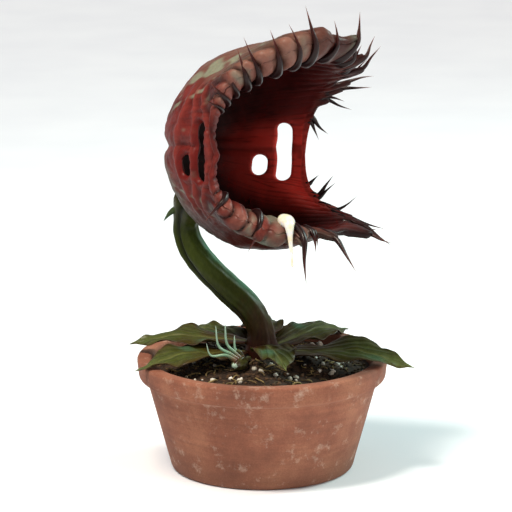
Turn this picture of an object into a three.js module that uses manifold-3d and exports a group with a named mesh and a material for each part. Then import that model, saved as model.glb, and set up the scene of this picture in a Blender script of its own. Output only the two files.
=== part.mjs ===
// A Venus flytrap in a plain low pot: one large gaping trap on a curved stalk, over a rosette of leaves.
// Millimetres, +Z up. The origin is the centre of the pot's underside, and the rosette's middle is above it.
// The trap gapes towards +X and a little towards -Y.
import * as THREE from "three";
import { ParametricGeometry } from "three/addons/geometries/ParametricGeometry.js";
import { mergeVertices } from "three/addons/utils/BufferGeometryUtils.js";
import Module from "manifold-3d";

const wasm = await Module();
wasm.setup();

// ---- Driving dimensions ----
const SEAT_GAP = 0.3; // left between pieces that touch
const POT = {
  height: 36,
  rimRadius: 40,
  rimBand: 7,
  rimStep: 2,
  footRadius: 29,
  wall: 2.6,
  floor: 3,
  drainRadius: 2.5,
  drainCircle: 15,
  drains: 5,
};
const SOIL = { belowRim: 3.5, mound: 4 };
const RHIZOME = { radius: 7.5, halfHeight: 8, roots: 6, rootRadius: 1.1, rootReach: 15, rootDrop: 11 };
const LEAF_LEVEL = POT.height + 2.2; // the height at which the middle leaves leave the crown
const STALK = { radius: 4.3, neckRadius: 3.8, crownRadius: 6.2, flareHeight: 9 };
const TRAP = {
  centre: new THREE.Vector3(-6.5, -3, LEAF_LEVEL + 66),
  yaw: THREE.MathUtils.degToRad(34), // how far the mouth turns from +X towards the front
  pitch: THREE.MathUtils.degToRad(5), // how far the mouth looks up
  roll: THREE.MathUtils.degToRad(9), // how far the far cheek sinks
  halfLength: 35,
  halfWidth: 23.75,
  halfHeight: 32.3,
  bodyShift: 8.75, // from the trap's centre forward to the middle of its egg shape
  wall: 1.7,
  rimWall: 1.2,
  flare: 4.2, // how far the margin turns outward
  folds: 22,
  foldDepth: 0.9,
};
const MOUTH = { side: 93, up: 42, down: 38, sag: -4, squareness: 2.8 }; // degrees, seen from the egg's middle
const CHEEK_SLOT = { forward: 1, height: -1.5, halfWidth: 2.2, halfLength: 9.2 };
const CHEEK_HOLE = { forward: -6.6, height: -5.8, halfWidth: 2.4, halfLength: 3.3 };
const HINGE = { depth: 1.1, halfWidth: 3 }; // the groove round the back, where the lobes join
const CILIA = { upper: 25, lower: 21, length: 14, sideLength: 6.5, radius: 0.85, sunk: 1.2, cheekGap: 32 };
const DRIP = { radius: 1.6, length: 14, rimPlace: 204, stand: 0.6, clear: 7 };
const BRACT = { length: 6, width: 3.6, thickness: 0.8 };
const LEAF_THICKNESS = 1.1;

const COLOURS = {
  pot: 0x9a6a52,
  soil: 0x2b2018,
  rhizome: 0xcfc7a4,
  stalk: 0x35400f,
  leaf: 0x3c4a20,
  trap: 0x7a2a26,
  drip: 0xfff2d8,
};

// ---- Solids ----

/** A three.js geometry as a manifold solid, with its shared points merged and its flat triangles dropped. */
function solidOf(geometry) {
  const bare = geometry.index ? geometry.toNonIndexed() : geometry.clone();
  bare.deleteAttribute("normal");
  bare.deleteAttribute("uv");
  const merged = mergeVertices(bare, 1e-4);
  const corners = merged.index.array;
  const kept = [];
  for (let i = 0; i < corners.length; i += 3) {
    const [a, b, c] = corners.slice(i, i + 3);
    if (a !== b && b !== c && c !== a) kept.push(a, b, c);
  }
  return new wasm.Manifold(
    new wasm.Mesh({
      numProp: 3,
      vertProperties: merged.attributes.position.array,
      triVerts: new Uint32Array(kept),
    }),
  );
}

/** A manifold solid as a three.js geometry. */
function geometryOf(solid) {
  const made = solid.getMesh();
  const geometry = new THREE.BufferGeometry();
  geometry.setAttribute("position", new THREE.BufferAttribute(new Float32Array(made.vertProperties), 3));
  geometry.setIndex(new THREE.BufferAttribute(new Uint32Array(made.triVerts), 1));
  geometry.computeVertexNormals();
  return geometry;
}

/** The closed solid through rings of points that pointAt(angle, share) gives, with a point at each end. */
function lofted(pointAt, sides, rings, ends) {
  const surface = (u, v, target) => {
    const ring = Math.round(v * (rings + 1));
    if (ring === 0) target.copy(ends[0]);
    else if (ring === rings + 1) target.copy(ends[1]);
    else target.copy(pointAt(u * 2 * Math.PI, (ring - 1) / (rings - 1)));
  };
  return solidOf(new ParametricGeometry(surface, sides, rings + 1));
}

function turned(profile, segments) {
  const points = profile.map(([radius, height]) => new THREE.Vector2(radius, height));
  return solidOf(new THREE.LatheGeometry(points, segments).rotateX(Math.PI / 2));
}

function named(name, solid, colour, roughness) {
  const material = new THREE.MeshStandardMaterial({ color: colour, roughness, metalness: 0 });
  const mesh = new THREE.Mesh(geometryOf(solid), material);
  mesh.name = name;
  return mesh;
}

/** A fixed scatter from -1 to 1 for a whole number, so that repeated pieces differ a little. */
function scatter(seed) {
  const s = Math.sin(seed * 127.1 + 11.7) * 43758.5453;
  return 2 * (s - Math.floor(s)) - 1;
}

// ---- Pot and soil ----

const potInnerTop = POT.rimRadius - POT.rimStep - POT.wall;
const potInnerFloor = POT.footRadius - POT.wall;

function potSolid() {
  const { height, rimRadius, rimBand, rimStep, footRadius, floor } = POT;
  const shoulder = height - rimBand;
  const body = turned(
    [
      [0, 0],
      [footRadius - 1, 0],
      [footRadius, 1],
      [rimRadius - rimStep - 1.4, shoulder],
      [rimRadius - 0.7, shoulder + 1],
      [rimRadius, height - 1.2],
      [rimRadius - 1.2, height],
      [potInnerTop + 1, height],
      [potInnerTop, height - 1],
      [potInnerFloor, floor],
      [0, floor],
    ],
    56,
  );
  const { drainRadius, drainCircle } = POT;
  const drain = new THREE.CylinderGeometry(drainRadius, drainRadius, 3 * floor, 12).rotateX(Math.PI / 2);
  const drains = Array.from({ length: POT.drains }, (_, i) => {
    const angle = (2 * Math.PI * (i + 0.5)) / POT.drains;
    return solidOf(drain.clone().translate(drainCircle * Math.cos(angle), drainCircle * Math.sin(angle), 0));
  });
  return drains.reduce((pot, hole) => pot.subtract(hole), body);
}

/** The inside radius of the pot at a height. */
function potInside(height) {
  return THREE.MathUtils.mapLinear(height, POT.floor, POT.height - 1, potInnerFloor, potInnerTop);
}

function soilSolid() {
  const bottom = POT.floor + SEAT_GAP;
  const edge = POT.height - SOIL.belowRim;
  const profile = [
    [0, bottom],
    [potInside(bottom) - SEAT_GAP, bottom],
    [potInside(edge) - SEAT_GAP, edge],
  ];
  const steps = 6;
  for (let i = 1; i <= steps; i++) {
    const inward = i / steps;
    const rise = SOIL.mound * Math.sin((inward * Math.PI) / 2) ** 2;
    profile.push([(potInside(edge) - SEAT_GAP) * (1 - inward), edge + rise]);
  }
  const pocketRadius = STALK.crownRadius + SEAT_GAP;
  const pocket = new THREE.CylinderGeometry(pocketRadius, pocketRadius, 2 * SOIL.mound, 24)
    .rotateX(Math.PI / 2)
    .translate(0, 0, stalkFoot - SEAT_GAP + SOIL.mound);
  return turned(profile, 40).subtract(rhizomeSolid(SEAT_GAP)).subtract(solidOf(pocket));
}

// ---- Rhizome with its roots ----

const stalkFoot = POT.height - 1.5;

function rhizomeSolid(grow = 0) {
  const { radius, halfHeight, roots, rootRadius, rootReach, rootDrop } = RHIZOME;
  const middle = stalkFoot - SEAT_GAP - halfHeight;
  const bulb = new THREE.SphereGeometry(1, 14, 9)
    .rotateX(Math.PI / 2)
    .scale(radius + grow, radius + grow, halfHeight + grow)
    .translate(0, 0, middle);
  let solid = solidOf(bulb);
  for (let i = 0; i < roots; i++) {
    const angle = (2 * Math.PI * i) / roots + 0.3 * scatter(i);
    const reach = rootReach * (1 + 0.2 * scatter(i + 20));
    const path = new THREE.CatmullRomCurve3([
      new THREE.Vector3(2 * Math.cos(angle), 2 * Math.sin(angle), middle - 1),
      new THREE.Vector3(0.55 * reach * Math.cos(angle), 0.55 * reach * Math.sin(angle), middle - 6),
      new THREE.Vector3(reach * Math.cos(angle + 0.3), reach * Math.sin(angle + 0.3), middle - rootDrop),
    ]);
    const up = new THREE.Vector3(0, 0, 1);
    const rootPoint = (turn, share) => {
      const along = path.getTangent(share);
      const side = new THREE.Vector3().crossVectors(along, up).normalize();
      const lift = new THREE.Vector3().crossVectors(side, along);
      const thick = rootRadius * (1 - 0.6 * share) + grow;
      return path
        .getPoint(share)
        .addScaledVector(side, thick * Math.cos(turn))
        .addScaledVector(lift, -thick * Math.sin(turn));
    };
    const tip = path.getPoint(1).addScaledVector(path.getTangent(1), grow);
    solid = solid.add(lofted(rootPoint, 6, 6, [path.getPoint(0), tip]));
  }
  return solid;
}

// ---- Stalk ----

const stemJoin = new THREE.Vector3(-21.2, 0, -18); // where the stalk meets the trap, in the trap's own frame
const trapTurn = new THREE.Euler(-TRAP.roll, -TRAP.pitch, -TRAP.yaw, "ZYX");

function trapToPlant(point) {
  return point.clone().applyEuler(trapTurn).add(TRAP.centre);
}

const stalkTop = trapToPlant(stemJoin.clone().multiplyScalar(0.93));
const stalkPath = new THREE.CatmullRomCurve3([
  new THREE.Vector3(0, 0, stalkFoot),
  new THREE.Vector3(0, 0, LEAF_LEVEL - 1),
  new THREE.Vector3(-0.6, 0.4, LEAF_LEVEL + 6.5),
  new THREE.Vector3(-4, 1.4, LEAF_LEVEL + 13),
  new THREE.Vector3(-10.4, 3, LEAF_LEVEL + 19),
  new THREE.Vector3(-17, 5, LEAF_LEVEL + 25),
  new THREE.Vector3(-22.2, 7, LEAF_LEVEL + 31.4),
  new THREE.Vector3(-24.4, 8.4, LEAF_LEVEL + 38.4),
  stalkTop,
]);

function stalkRadius(share) {
  const { radius, neckRadius, crownRadius, flareHeight } = STALK;
  const tapered = THREE.MathUtils.lerp(radius, neckRadius, THREE.MathUtils.smoothstep(share, 0.5, 0.95));
  const height = share * stalkPath.getLength();
  const flare = Math.max(0, 1 - height / flareHeight);
  return tapered + (crownRadius - radius) * flare * flare * (3 - 2 * flare);
}

/** The point of the stalk's skin at a turn round it and a share of its length. */
function stalkSkin(turn, share) {
  const along = stalkPath.getTangentAt(share);
  const side = new THREE.Vector3().crossVectors(along, new THREE.Vector3(0, 1, 0)).normalize();
  const back = new THREE.Vector3().crossVectors(side, along);
  const thick = stalkRadius(share);
  return stalkPath
    .getPointAt(share)
    .addScaledVector(side, thick * Math.cos(turn))
    .addScaledVector(back, -thick * Math.sin(turn));
}

function stalkSolid() {
  return lofted(stalkSkin, 14, 22, [stalkPath.getPointAt(0), stalkPath.getPointAt(1)]);
}

// ---- Leaves of the rosette ----

// angle: where the leaf points, in degrees from +X towards +Y.
// roll: how many degrees its far edge, going round that way, is raised above the near one.
const LEAVES = [
  { name: "leaf_right_front", angle: -17, length: 44, width: 19, lift: -0.6, roll: 14 },
  { name: "leaf_right_back", angle: 50, length: 39, width: 17, lift: -0.6, roll: 8 },
  { name: "leaf_back", angle: 90, length: 33, width: 14, lift: 2, roll: 0 },
  { name: "leaf_left_back", angle: 126, length: 38, width: 14, lift: -0.6, roll: -6 },
  { name: "leaf_left", angle: 174, length: 38, width: 16, lift: 2, roll: -8 },
  { name: "leaf_left_front", angle: 205, length: 38, width: 17, lift: -0.6, roll: -10 },
  { name: "leaf_front", angle: 285, length: 23, width: 15, lift: 2, roll: 0 },
];
const LEAF_ARCH = 1.2;
const LEAF_SAG = 1.8;

/** How far from the middle a leaf starts: just clear of the stalk at its height. */
function leafRoot(lift) {
  return stalkRadius((LEAF_LEVEL + lift - stalkFoot) / stalkPath.getLength()) + SEAT_GAP;
}

/** A leaf's width at a share of its length, as a share of its full width: it ends in a drawn-out tip. */
function leafWidth(share) {
  const belly = Math.sin(Math.PI * Math.pow(0.06 + 0.94 * share, 0.86));
  return Math.max(0.02, 0.1 * (1 - share) + 0.88 * Math.pow(Math.max(belly, 0), 1.15));
}

function leafSolid({ angle, length, width, lift, roll }) {
  const heading = THREE.MathUtils.degToRad(angle);
  const outward = new THREE.Vector3(Math.cos(heading), Math.sin(heading), 0);
  const across = new THREE.Vector3(-Math.sin(heading), Math.cos(heading), 0);
  const slope = Math.tan(THREE.MathUtils.degToRad(roll));
  const middle = (share) => {
    const height = LEAF_LEVEL + lift + LEAF_ARCH * Math.sin(Math.PI * share) - LEAF_SAG * share * share;
    return outward.clone().multiplyScalar(leafRoot(lift) + length * share).setZ(height);
  };
  const blade = (turn, share) => {
    const half = 0.5 * width * leafWidth(share);
    const out = half * Math.cos(turn);
    const rolled = THREE.MathUtils.smoothstep(share, 0.2, 0.65) * (slope * out + Math.abs(slope) * half);
    const thick = 0.5 * LEAF_THICKNESS * (1 - 0.55 * share);
    const point = middle(share).addScaledVector(across, out);
    point.z += rolled + thick * Math.sin(turn);
    return point;
  };
  return lofted(blade, 8, 11, [middle(0), middle(1)]);
}

// ---- Trap ----

/** The direction of the mouth's edge, seen from the egg's middle. Place 0 is the top, and the far cheek is next. */
function rimDirection(place) {
  const power = 2 / MOUTH.squareness;
  const rounded = (value) => Math.sign(value) * Math.pow(Math.abs(value), power);
  const azimuth = THREE.MathUtils.degToRad(MOUTH.side * rounded(Math.sin(place)));
  const reach = Math.cos(place) > 0 ? MOUTH.up : MOUTH.down;
  const sag = MOUTH.sag * Math.sin(place) ** 2;
  const elevation = THREE.MathUtils.degToRad(reach * rounded(Math.cos(place)) + sag);
  return new THREE.Vector3(
    Math.cos(elevation) * Math.cos(azimuth),
    Math.cos(elevation) * Math.sin(azimuth),
    Math.sin(elevation),
  );
}

/** The trap's skin, in its own frame, at a place round the mouth and a share of the way from back to rim. */
function trapSkin(place, share, inset = 0) {
  const rim = rimDirection(place);
  const round = Math.atan2(rim.y, rim.z);
  const opening = Math.acos(-rim.x) * share;
  const direction = new THREE.Vector3(
    -Math.cos(opening),
    Math.sin(opening) * Math.sin(round),
    Math.sin(opening) * Math.cos(round),
  );
  const egg = new THREE.Vector3(TRAP.halfLength, TRAP.halfWidth, TRAP.halfHeight).subScalar(inset);
  const outward = direction.clone().divide(egg).normalize();
  const point = direction.multiply(egg).add(new THREE.Vector3(TRAP.bodyShift, 0, 0));
  const margin = THREE.MathUtils.smoothstep(share, 0.72, 1);
  const lips = Math.abs(Math.cos(place)) ** 0.7;
  const fold = Math.cos(place * TRAP.folds + 0.9 * Math.sin(3 * place));
  const turnedOut = margin * margin * TRAP.flare * (0.35 + 0.65 * lips);
  const groove = HINGE.depth * Math.exp(-((point.z / HINGE.halfWidth) ** 2)) * (1 - margin);
  return point.addScaledVector(outward, turnedOut + margin * lips * TRAP.foldDepth * fold - groove);
}

const TRAP_RINGS = [0, 0.13, 0.27, 0.41, 0.54, 0.66, 0.76, 0.84, 0.9, 0.95, 1];

function trapShell() {
  const sides = 88;
  const outer = TRAP_RINGS.length;
  const surface = (u, v, target) => {
    const ring = Math.round(v * (2 * outer - 1));
    const outside = ring < outer;
    const share = TRAP_RINGS[outside ? ring : 2 * outer - 1 - ring];
    const wall = THREE.MathUtils.lerp(TRAP.wall, TRAP.rimWall, share);
    target.copy(trapSkin(-2 * Math.PI * u, share, outside ? 0 : wall));
  };
  return solidOf(new ParametricGeometry(surface, sides, 2 * outer - 1));
}

/** A straight punch with round ends that goes through both cheeks. */
function cheekPunch({ forward, height, halfWidth, halfLength }) {
  const straight = halfLength - halfWidth;
  const outline = new THREE.Shape();
  outline.absarc(0, straight, halfWidth, 0, Math.PI, false);
  outline.absarc(0, -straight, halfWidth, Math.PI, 2 * Math.PI, false);
  const depth = 4 * TRAP.halfWidth;
  const punch = new THREE.ExtrudeGeometry(outline, { depth, bevelEnabled: false, curveSegments: 7 });
  return solidOf(punch.rotateX(Math.PI / 2).translate(forward, depth / 2, height));
}

/** One spine of the margin: a slim cone whose foot is sunk in the rim. */
function cilium(place, index) {
  const rim = trapSkin(place, 1, TRAP.rimWall / 2);
  const behind = trapSkin(place, 0.93, TRAP.rimWall / 2);
  const forward = rim.clone().sub(behind).normalize();
  const beside = trapSkin(place + 0.02, 1, TRAP.rimWall / 2).sub(rim).normalize();
  const outward = new THREE.Vector3().crossVectors(forward, beside).normalize();
  const lip = Math.abs(Math.cos(place)) ** 2;
  const length = THREE.MathUtils.lerp(CILIA.sideLength, CILIA.length, lip) * (1 + 0.18 * scatter(index));
  const near = 0.5 - 0.5 * Math.sin(place);
  const heading = forward
    .multiplyScalar(1 - 0.6 * near)
    .addScaledVector(outward, 0.2 + 0.75 * near + 0.3 * scatter(index + 60))
    .addScaledVector(beside, 0.25 * scatter(index + 90))
    .normalize();
  const cone = new THREE.ConeGeometry(CILIA.radius, length + CILIA.sunk, 5);
  cone.translate(0, (length - CILIA.sunk) / 2, 0);
  cone.applyQuaternion(new THREE.Quaternion().setFromUnitVectors(new THREE.Vector3(0, 1, 0), heading));
  return solidOf(cone.translate(rim.x, rim.y, rim.z));
}

/** The places round the mouth, in radians, of one lobe's spines: they leave out the cheeks. */
function ciliaPlaces(count, middle) {
  const half = THREE.MathUtils.degToRad(90 - CILIA.cheekGap / 2);
  return Array.from({ length: count }, (_, i) => middle + half * ((2 * i) / (count - 1) - 1));
}

function trapSolid() {
  const holed = trapShell().subtract(cheekPunch(CHEEK_SLOT)).subtract(cheekPunch(CHEEK_HOLE));
  const drip = THREE.MathUtils.degToRad(DRIP.rimPlace);
  const clear = THREE.MathUtils.degToRad(DRIP.clear);
  return [...ciliaPlaces(CILIA.upper, 0), ...ciliaPlaces(CILIA.lower, Math.PI)]
    .filter((place) => Math.abs(place - drip) > clear)
    .reduce((trap, place, i) => trap.add(cilium(place, i)), holed);
}

/** The stalk, its top hollowed to seat on the trap's round back. */
function seatedStalk() {
  const egg = new THREE.SphereGeometry(1, 48, 32)
    .scale(TRAP.halfLength + SEAT_GAP, TRAP.halfWidth + SEAT_GAP, TRAP.halfHeight + SEAT_GAP)
    .translate(TRAP.bodyShift, 0, 0)
    .applyQuaternion(new THREE.Quaternion().setFromEuler(trapTurn))
    .translate(TRAP.centre.x, TRAP.centre.y, TRAP.centre.z);
  return stalkSolid().subtract(solidOf(egg));
}

// ---- Small pieces ----

/** A pointed scale leaf on the left of the neck, its tip turned down and outward. */
function bractSolid() {
  const share = 0.95;
  const neck = stalkPath.getPointAt(share);
  const away = stalkSkin(0, share).sub(neck).normalize();
  const outward = new THREE.Vector3(-Math.abs(away.x), away.y, 0).normalize();
  const start = neck.clone().addScaledVector(outward, stalkRadius(share) + SEAT_GAP);
  const across = new THREE.Vector3(0, 1, 0);
  const middle = (s) =>
    start
      .clone()
      .addScaledVector(outward, 0.62 * BRACT.length * s)
      .add(new THREE.Vector3(0, 0, -0.78 * BRACT.length * s * s));
  const blade = (turn, s) => {
    const half = 0.5 * BRACT.width * (1 - s) ** 0.7 + 0.05;
    const thick = 0.5 * BRACT.thickness * (1 - 0.7 * s);
    const point = middle(s).addScaledVector(across, -half * Math.cos(turn));
    return point.add(new THREE.Vector3(0.3 * thick, 0, thick).multiplyScalar(Math.sin(turn)));
  };
  return lofted(blade, 6, 5, [middle(0), middle(1)]);
}

/** A thread of nectar that hangs from the lower lip. */
function dripSolid() {
  const { radius, length, rimPlace, stand } = DRIP;
  const place = THREE.MathUtils.degToRad(rimPlace);
  const lip = trapToPlant(trapSkin(place, 1));
  const outward = trapToPlant(trapSkin(place, 1)).sub(trapToPlant(trapSkin(place, 1, 2)));
  outward.setZ(0).normalize();
  const hang = turned(
    [
      [0, -length],
      [0.25, -0.92 * length],
      [0.45, -0.6 * length],
      [0.75, -0.32 * length],
      [radius * 0.85, -0.14 * length],
      [radius, -0.04 * length],
      [radius * 0.7, 0.06 * length],
      [0, 0.1 * length],
    ],
    10,
  );
  const at = lip.addScaledVector(outward, radius + stand);
  return hang.translate(at.x, at.y, at.z);
}

// ---- The young trap at the rosette's left ----

const YOUNG = {
  foot: new THREE.Vector3(-4.1, -8, LEAF_LEVEL - 1),
  tip: new THREE.Vector3(-8.9, -17.4, LEAF_LEVEL - 1.1),
  halfWidth: 2.4,
  halfHeight: 2.1,
  spines: 4,
  spineRadius: 0.55,
  reach: 9,
  rise: 13.5,
};

function youngTrapSolid() {
  const { foot, tip, halfWidth, halfHeight } = YOUNG;
  const along = tip.clone().sub(foot);
  const across = new THREE.Vector3(-along.y, along.x, 0).normalize();
  const pod = (turn, share) => {
    const swell = 0.35 + 0.65 * THREE.MathUtils.smoothstep(share, 0.15, 0.6);
    const round = swell * Math.sqrt(Math.max(0.02, 1 - Math.max(0, (share - 0.6) / 0.4) ** 2));
    return foot
      .clone()
      .addScaledVector(along, share)
      .addScaledVector(across, halfWidth * round * Math.cos(turn))
      .add(new THREE.Vector3(0, 0, halfHeight * round * Math.sin(turn)));
  };
  let solid = lofted(pod, 10, 9, [foot, tip]);
  for (let i = 0; i < YOUNG.spines; i++) solid = solid.add(youngSpine(i / (YOUNG.spines - 1), along));
  return solid;
}

/** A pale spine of the young trap, which leaves its edge sideways and sweeps up. */
function youngSpine(share, along) {
  const { foot, spineRadius, reach, rise } = YOUNG;
  const start = foot.clone().addScaledVector(along, 0.42 + 0.42 * share);
  const out = new THREE.Vector3(-1, -0.1 * share, 0).normalize();
  const far = reach * (0.3 + 0.75 * share);
  const high = rise * Math.sin(Math.PI * (0.22 + 0.6 * share));
  const bend = (away, height) => start.clone().addScaledVector(out, away * far).setZ(start.z + height);
  const path = new THREE.CatmullRomCurve3([
    bend(0, 0.5 * YOUNG.halfHeight),
    bend(0.35, YOUNG.halfHeight + 1.1),
    bend(0.85, 0.45 * high),
    bend(1, high),
  ]);
  const skin = (turn, s) => {
    const tangent = path.getTangent(s);
    const side = new THREE.Vector3(out.y, -out.x, 0).normalize();
    const lift = new THREE.Vector3().crossVectors(side, tangent).normalize();
    const thick = spineRadius * (1 - 0.75 * s);
    return path
      .getPoint(s)
      .addScaledVector(side, thick * Math.cos(turn))
      .addScaledVector(lift, -thick * Math.sin(turn));
  };
  return lofted(skin, 5, 6, [path.getPoint(0), path.getPoint(1)]);
}

// ---- The plant in its pot ----

const plant = new THREE.Group();
plant.add(named("pot", potSolid(), COLOURS.pot, 0.9));
plant.add(named("soil", soilSolid(), COLOURS.soil, 1));
plant.add(named("rhizome", rhizomeSolid(), COLOURS.rhizome, 0.7));
plant.add(named("trap_stalk", seatedStalk(), COLOURS.stalk, 0.45));
for (const leaf of LEAVES) plant.add(named(leaf.name, leafSolid(leaf), COLOURS.leaf, 0.5));
plant.add(named("young_trap", youngTrapSolid(), COLOURS.leaf, 0.5));
plant.add(named("neck_bract", bractSolid(), COLOURS.stalk, 0.5));
plant.add(named("nectar_drip", dripSolid(), COLOURS.drip, 0.1));

const trapFrame = new THREE.Group();
trapFrame.position.copy(TRAP.centre);
trapFrame.rotation.copy(trapTurn);
trapFrame.add(named("trap", trapSolid(), COLOURS.trap, 0.4));
plant.add(trapFrame);

export default plant;
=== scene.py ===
"""A Venus flytrap in a plain clay pot: the fine shapes and the finishes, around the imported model.

Shapes are worked out in millimetres, in the model's frame, and become metres when a piece is finished.
"""

import math

import bmesh
import bpy
import numpy as np
from mathutils import Euler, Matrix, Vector, noise


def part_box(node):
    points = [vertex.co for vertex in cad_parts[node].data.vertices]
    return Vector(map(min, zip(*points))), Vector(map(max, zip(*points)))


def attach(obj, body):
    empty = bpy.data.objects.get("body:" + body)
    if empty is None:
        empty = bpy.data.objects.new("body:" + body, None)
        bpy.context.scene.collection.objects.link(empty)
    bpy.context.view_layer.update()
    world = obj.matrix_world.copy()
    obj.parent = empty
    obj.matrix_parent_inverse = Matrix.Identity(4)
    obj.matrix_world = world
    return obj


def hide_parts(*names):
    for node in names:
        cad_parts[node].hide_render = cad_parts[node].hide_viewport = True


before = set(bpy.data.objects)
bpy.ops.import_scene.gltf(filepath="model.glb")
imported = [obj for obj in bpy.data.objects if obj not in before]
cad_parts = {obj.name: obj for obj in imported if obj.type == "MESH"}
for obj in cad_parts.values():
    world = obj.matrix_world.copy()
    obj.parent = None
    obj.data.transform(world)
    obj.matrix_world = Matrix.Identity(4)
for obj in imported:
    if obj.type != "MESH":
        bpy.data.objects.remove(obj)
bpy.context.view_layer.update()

MM = 0.001  # metres
TAU = 2 * math.pi

# ---- Sizes of the plant, in millimetres and degrees ----

POT_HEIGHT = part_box("pot")[1].z / MM
POT_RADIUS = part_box("pot")[1].x / MM
POT_FOOT_RADIUS = 29
POT_WALL = 2.6
POT_FLOOR = 3
RIM_BAND = 7
RIM_STEP = 2
POT_INSIDE = POT_RADIUS - RIM_STEP - POT_WALL
DRAIN_RADIUS = 2.5
DRAIN_CIRCLE = 15
DRAINS = 5
SOIL_EDGE = POT_HEIGHT - 3.5
SOIL_MOUND = 4
SOIL_GAP = 0.3  # how far the potting mix keeps off the pot
LEAF_LEVEL = POT_HEIGHT + 2.2
STALK_FOOT = POT_HEIGHT - 1.5
STALK_RADIUS, NECK_RADIUS, CROWN_RADIUS, FLARE_HEIGHT = 4.3, 3.8, 6.2, 9

TRAP_CENTRE = np.array([-6.5, -3, LEAF_LEVEL + 66])
TRAP_YAW, TRAP_PITCH, TRAP_ROLL = 34, 5, 9
EGG = np.array([35, 23.75, 32.3])  # half length, half width and half height of the trap's egg shape
EGG_SHIFT = np.array([8.75, 0, 0])
WALL = 1.7
NEAR_LIP_WALL, FAR_LIP_WALL = 2.6, 1.5
FLARE = 4.2  # how far the lobes spread towards the mouth
MOUTH_SIDE, MOUTH_UP, MOUTH_DOWN, MOUTH_SAG = 93, 42, 38, -4  # the angles of its edge from straight ahead
MOUTH_SQUARENESS = 2.8
ROLL_START = 0.76  # the share of the fine wall, from back to edge, where the lip begins to turn out
NEAR_LIP_TURN, FAR_LIP_TURN = 84, 30
NEAR_LIP_RADIUS, FAR_LIP_RADIUS, CHEEK_LIP_RADIUS = 8.4, 9, 1.6
BACK_START = 0.5  # the share of the wall where the near lip's thick back leaves the lobe
BACK_EASE = 0.4  # how far that back runs on in the lobe's direction, as a share of its length
LIP_DOME = 6.0  # how strongly it bulges out past the lip's edge
HINGE_GROOVE, KEEL, RIDGE_WIDTH = 1.5, 1.3, 2.2
PUCKERS = 38
PUCKER_DEPTH = 2.3
DRAWN_POINT = 7.5  # how far the far lip is drawn out where a spine leaves it
CORDS = (5.2, -3.0, -10.8)  # how far forward each raised cord of a cheek runs
CHEEK_START = 9  # how far from the trap's middle plane the cheeks, and so their holes, begin
CHEEK_HOLES = [(1, -1.5, 2.2, 9.2), (-6.6, -5.8, 2.4, 3.3)]  # forward, height, half width, half length
STEM_JOIN = np.array([-21.2, 0, -18])
DROP_PLACE = math.radians(204)  # the place round the mouth where the drop of nectar lies
SPINE_SPAN = 76  # how far round its lip, each way from the middle, a row of spines goes
SPINE_FAN_CHEEK, SPINE_FAN_UPPER, SPINE_FAN_LOWER = -62, 48, 26  # how far the far lip's spines fan out

# How many steps the fine sheets have, across and along, and how many sides and places the fine stems have.
TRAP_MESH, LEAF_MESH, YOUNG_MESH, SOIL_MESH = (432, 112), (44, 120), (64, 70), (220, 110)
POT_STEPS = 200
STALK_SIDES, STALK_PLACES = 72, 200
SPINE_SIDES, SPINE_PLACES = 12, 30
STEM_POINT = 0.0005  # the radius of a stem's ends, which merge to a point

# ---- Numbers and noise ----


def lerp(low, high, share):
    return low + (high - low) * share


def smooth(value, low, high):
    """0 below low, 1 above high, and a smooth step between them."""
    share = np.clip((value - low) / (high - low), 0, 1)
    return share * share * (3 - 2 * share)


def unit(vectors):
    return vectors / np.maximum(np.linalg.norm(vectors, axis=-1, keepdims=True), 1e-9)


def rough(points, size, seed=0):
    """Smooth noise from about -1 to 1 at each point, with lumps of about that size."""
    shift = Vector((17.3 * seed, -9.1 * seed, 5.7 * seed))
    return np.array([noise.noise(Vector(p) / size + shift) for p in points])


# ---- Meshes ----


def ruled_sheet(across, along):
    """A flat grid whose vertices remember their share across and along."""
    bm = bmesh.new()
    bmesh.ops.create_grid(bm, x_segments=across, y_segments=along, size=0.5)
    for name, axis in (("across", 0), ("along", 1)):
        layer = bm.verts.layers.float.new(name)
        for vert in bm.verts:
            vert[layer] = vert.co[axis] + 0.5
    return bm


def kept(bm, name):
    """What each vertex remembers under a name, as an array."""
    layer = bm.verts.layers.float[name]
    return np.array([vert[layer] for vert in bm.verts])


def places_of(bm):
    return np.array([vert.co for vert in bm.verts])


def lay(bm, places):
    """Moves each vertex to its place."""
    for vert, place in zip(bm.verts, places):
        vert.co = place


def close_up(bm, gap=0.002):
    """Joins the seams and poles of a sheet that was wrapped round, and turns its faces outwards."""
    bmesh.ops.remove_doubles(bm, verts=bm.verts, dist=gap)
    turn_outwards(bm)


def turn_outwards(bm):
    """Turns the faces of a closed mesh outwards."""
    bmesh.ops.recalc_face_normals(bm, faces=bm.faces)
    if bm.calc_volume(signed=True) < 0:
        bmesh.ops.reverse_faces(bm, faces=bm.faces)


def doubled(bm):
    """Gives a sheet a second side. Its vertices remember which side they are on."""
    side = bm.verts.layers.float.new("side")
    made = bmesh.ops.extrude_face_region(bm, geom=bm.faces[:], use_keep_orig=True)
    for item in made["geom"]:
        if isinstance(item, bmesh.types.BMVert):
            item[side] = 1


def finished(name, bm, material, replaces=(), attributes=None):
    """Makes the piece from a mesh in millimetres, and lets it ride with the plant."""
    bmesh.ops.scale(bm, vec=(MM, MM, MM), verts=bm.verts)
    mesh = bpy.data.meshes.new(name)
    bm.to_mesh(mesh)
    bm.free()
    for key, values in (attributes or {}).items():
        held = mesh.attributes.new(key, "FLOAT", "POINT")
        held.data.foreach_set("value", np.asarray(values, np.float32))
    mesh.shade_smooth()
    mesh.materials.append(material)
    piece = bpy.data.objects.new(name, mesh)
    bpy.context.scene.collection.objects.link(piece)
    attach(piece, "root")
    if replaces:
        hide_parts(*replaces)
    return piece


def between(start, end, low, high, times):
    """Points on the line from start, at time low, to end, at time high."""
    return start + (end - start) * ((times - low) / (high - low))[:, None]


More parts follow.
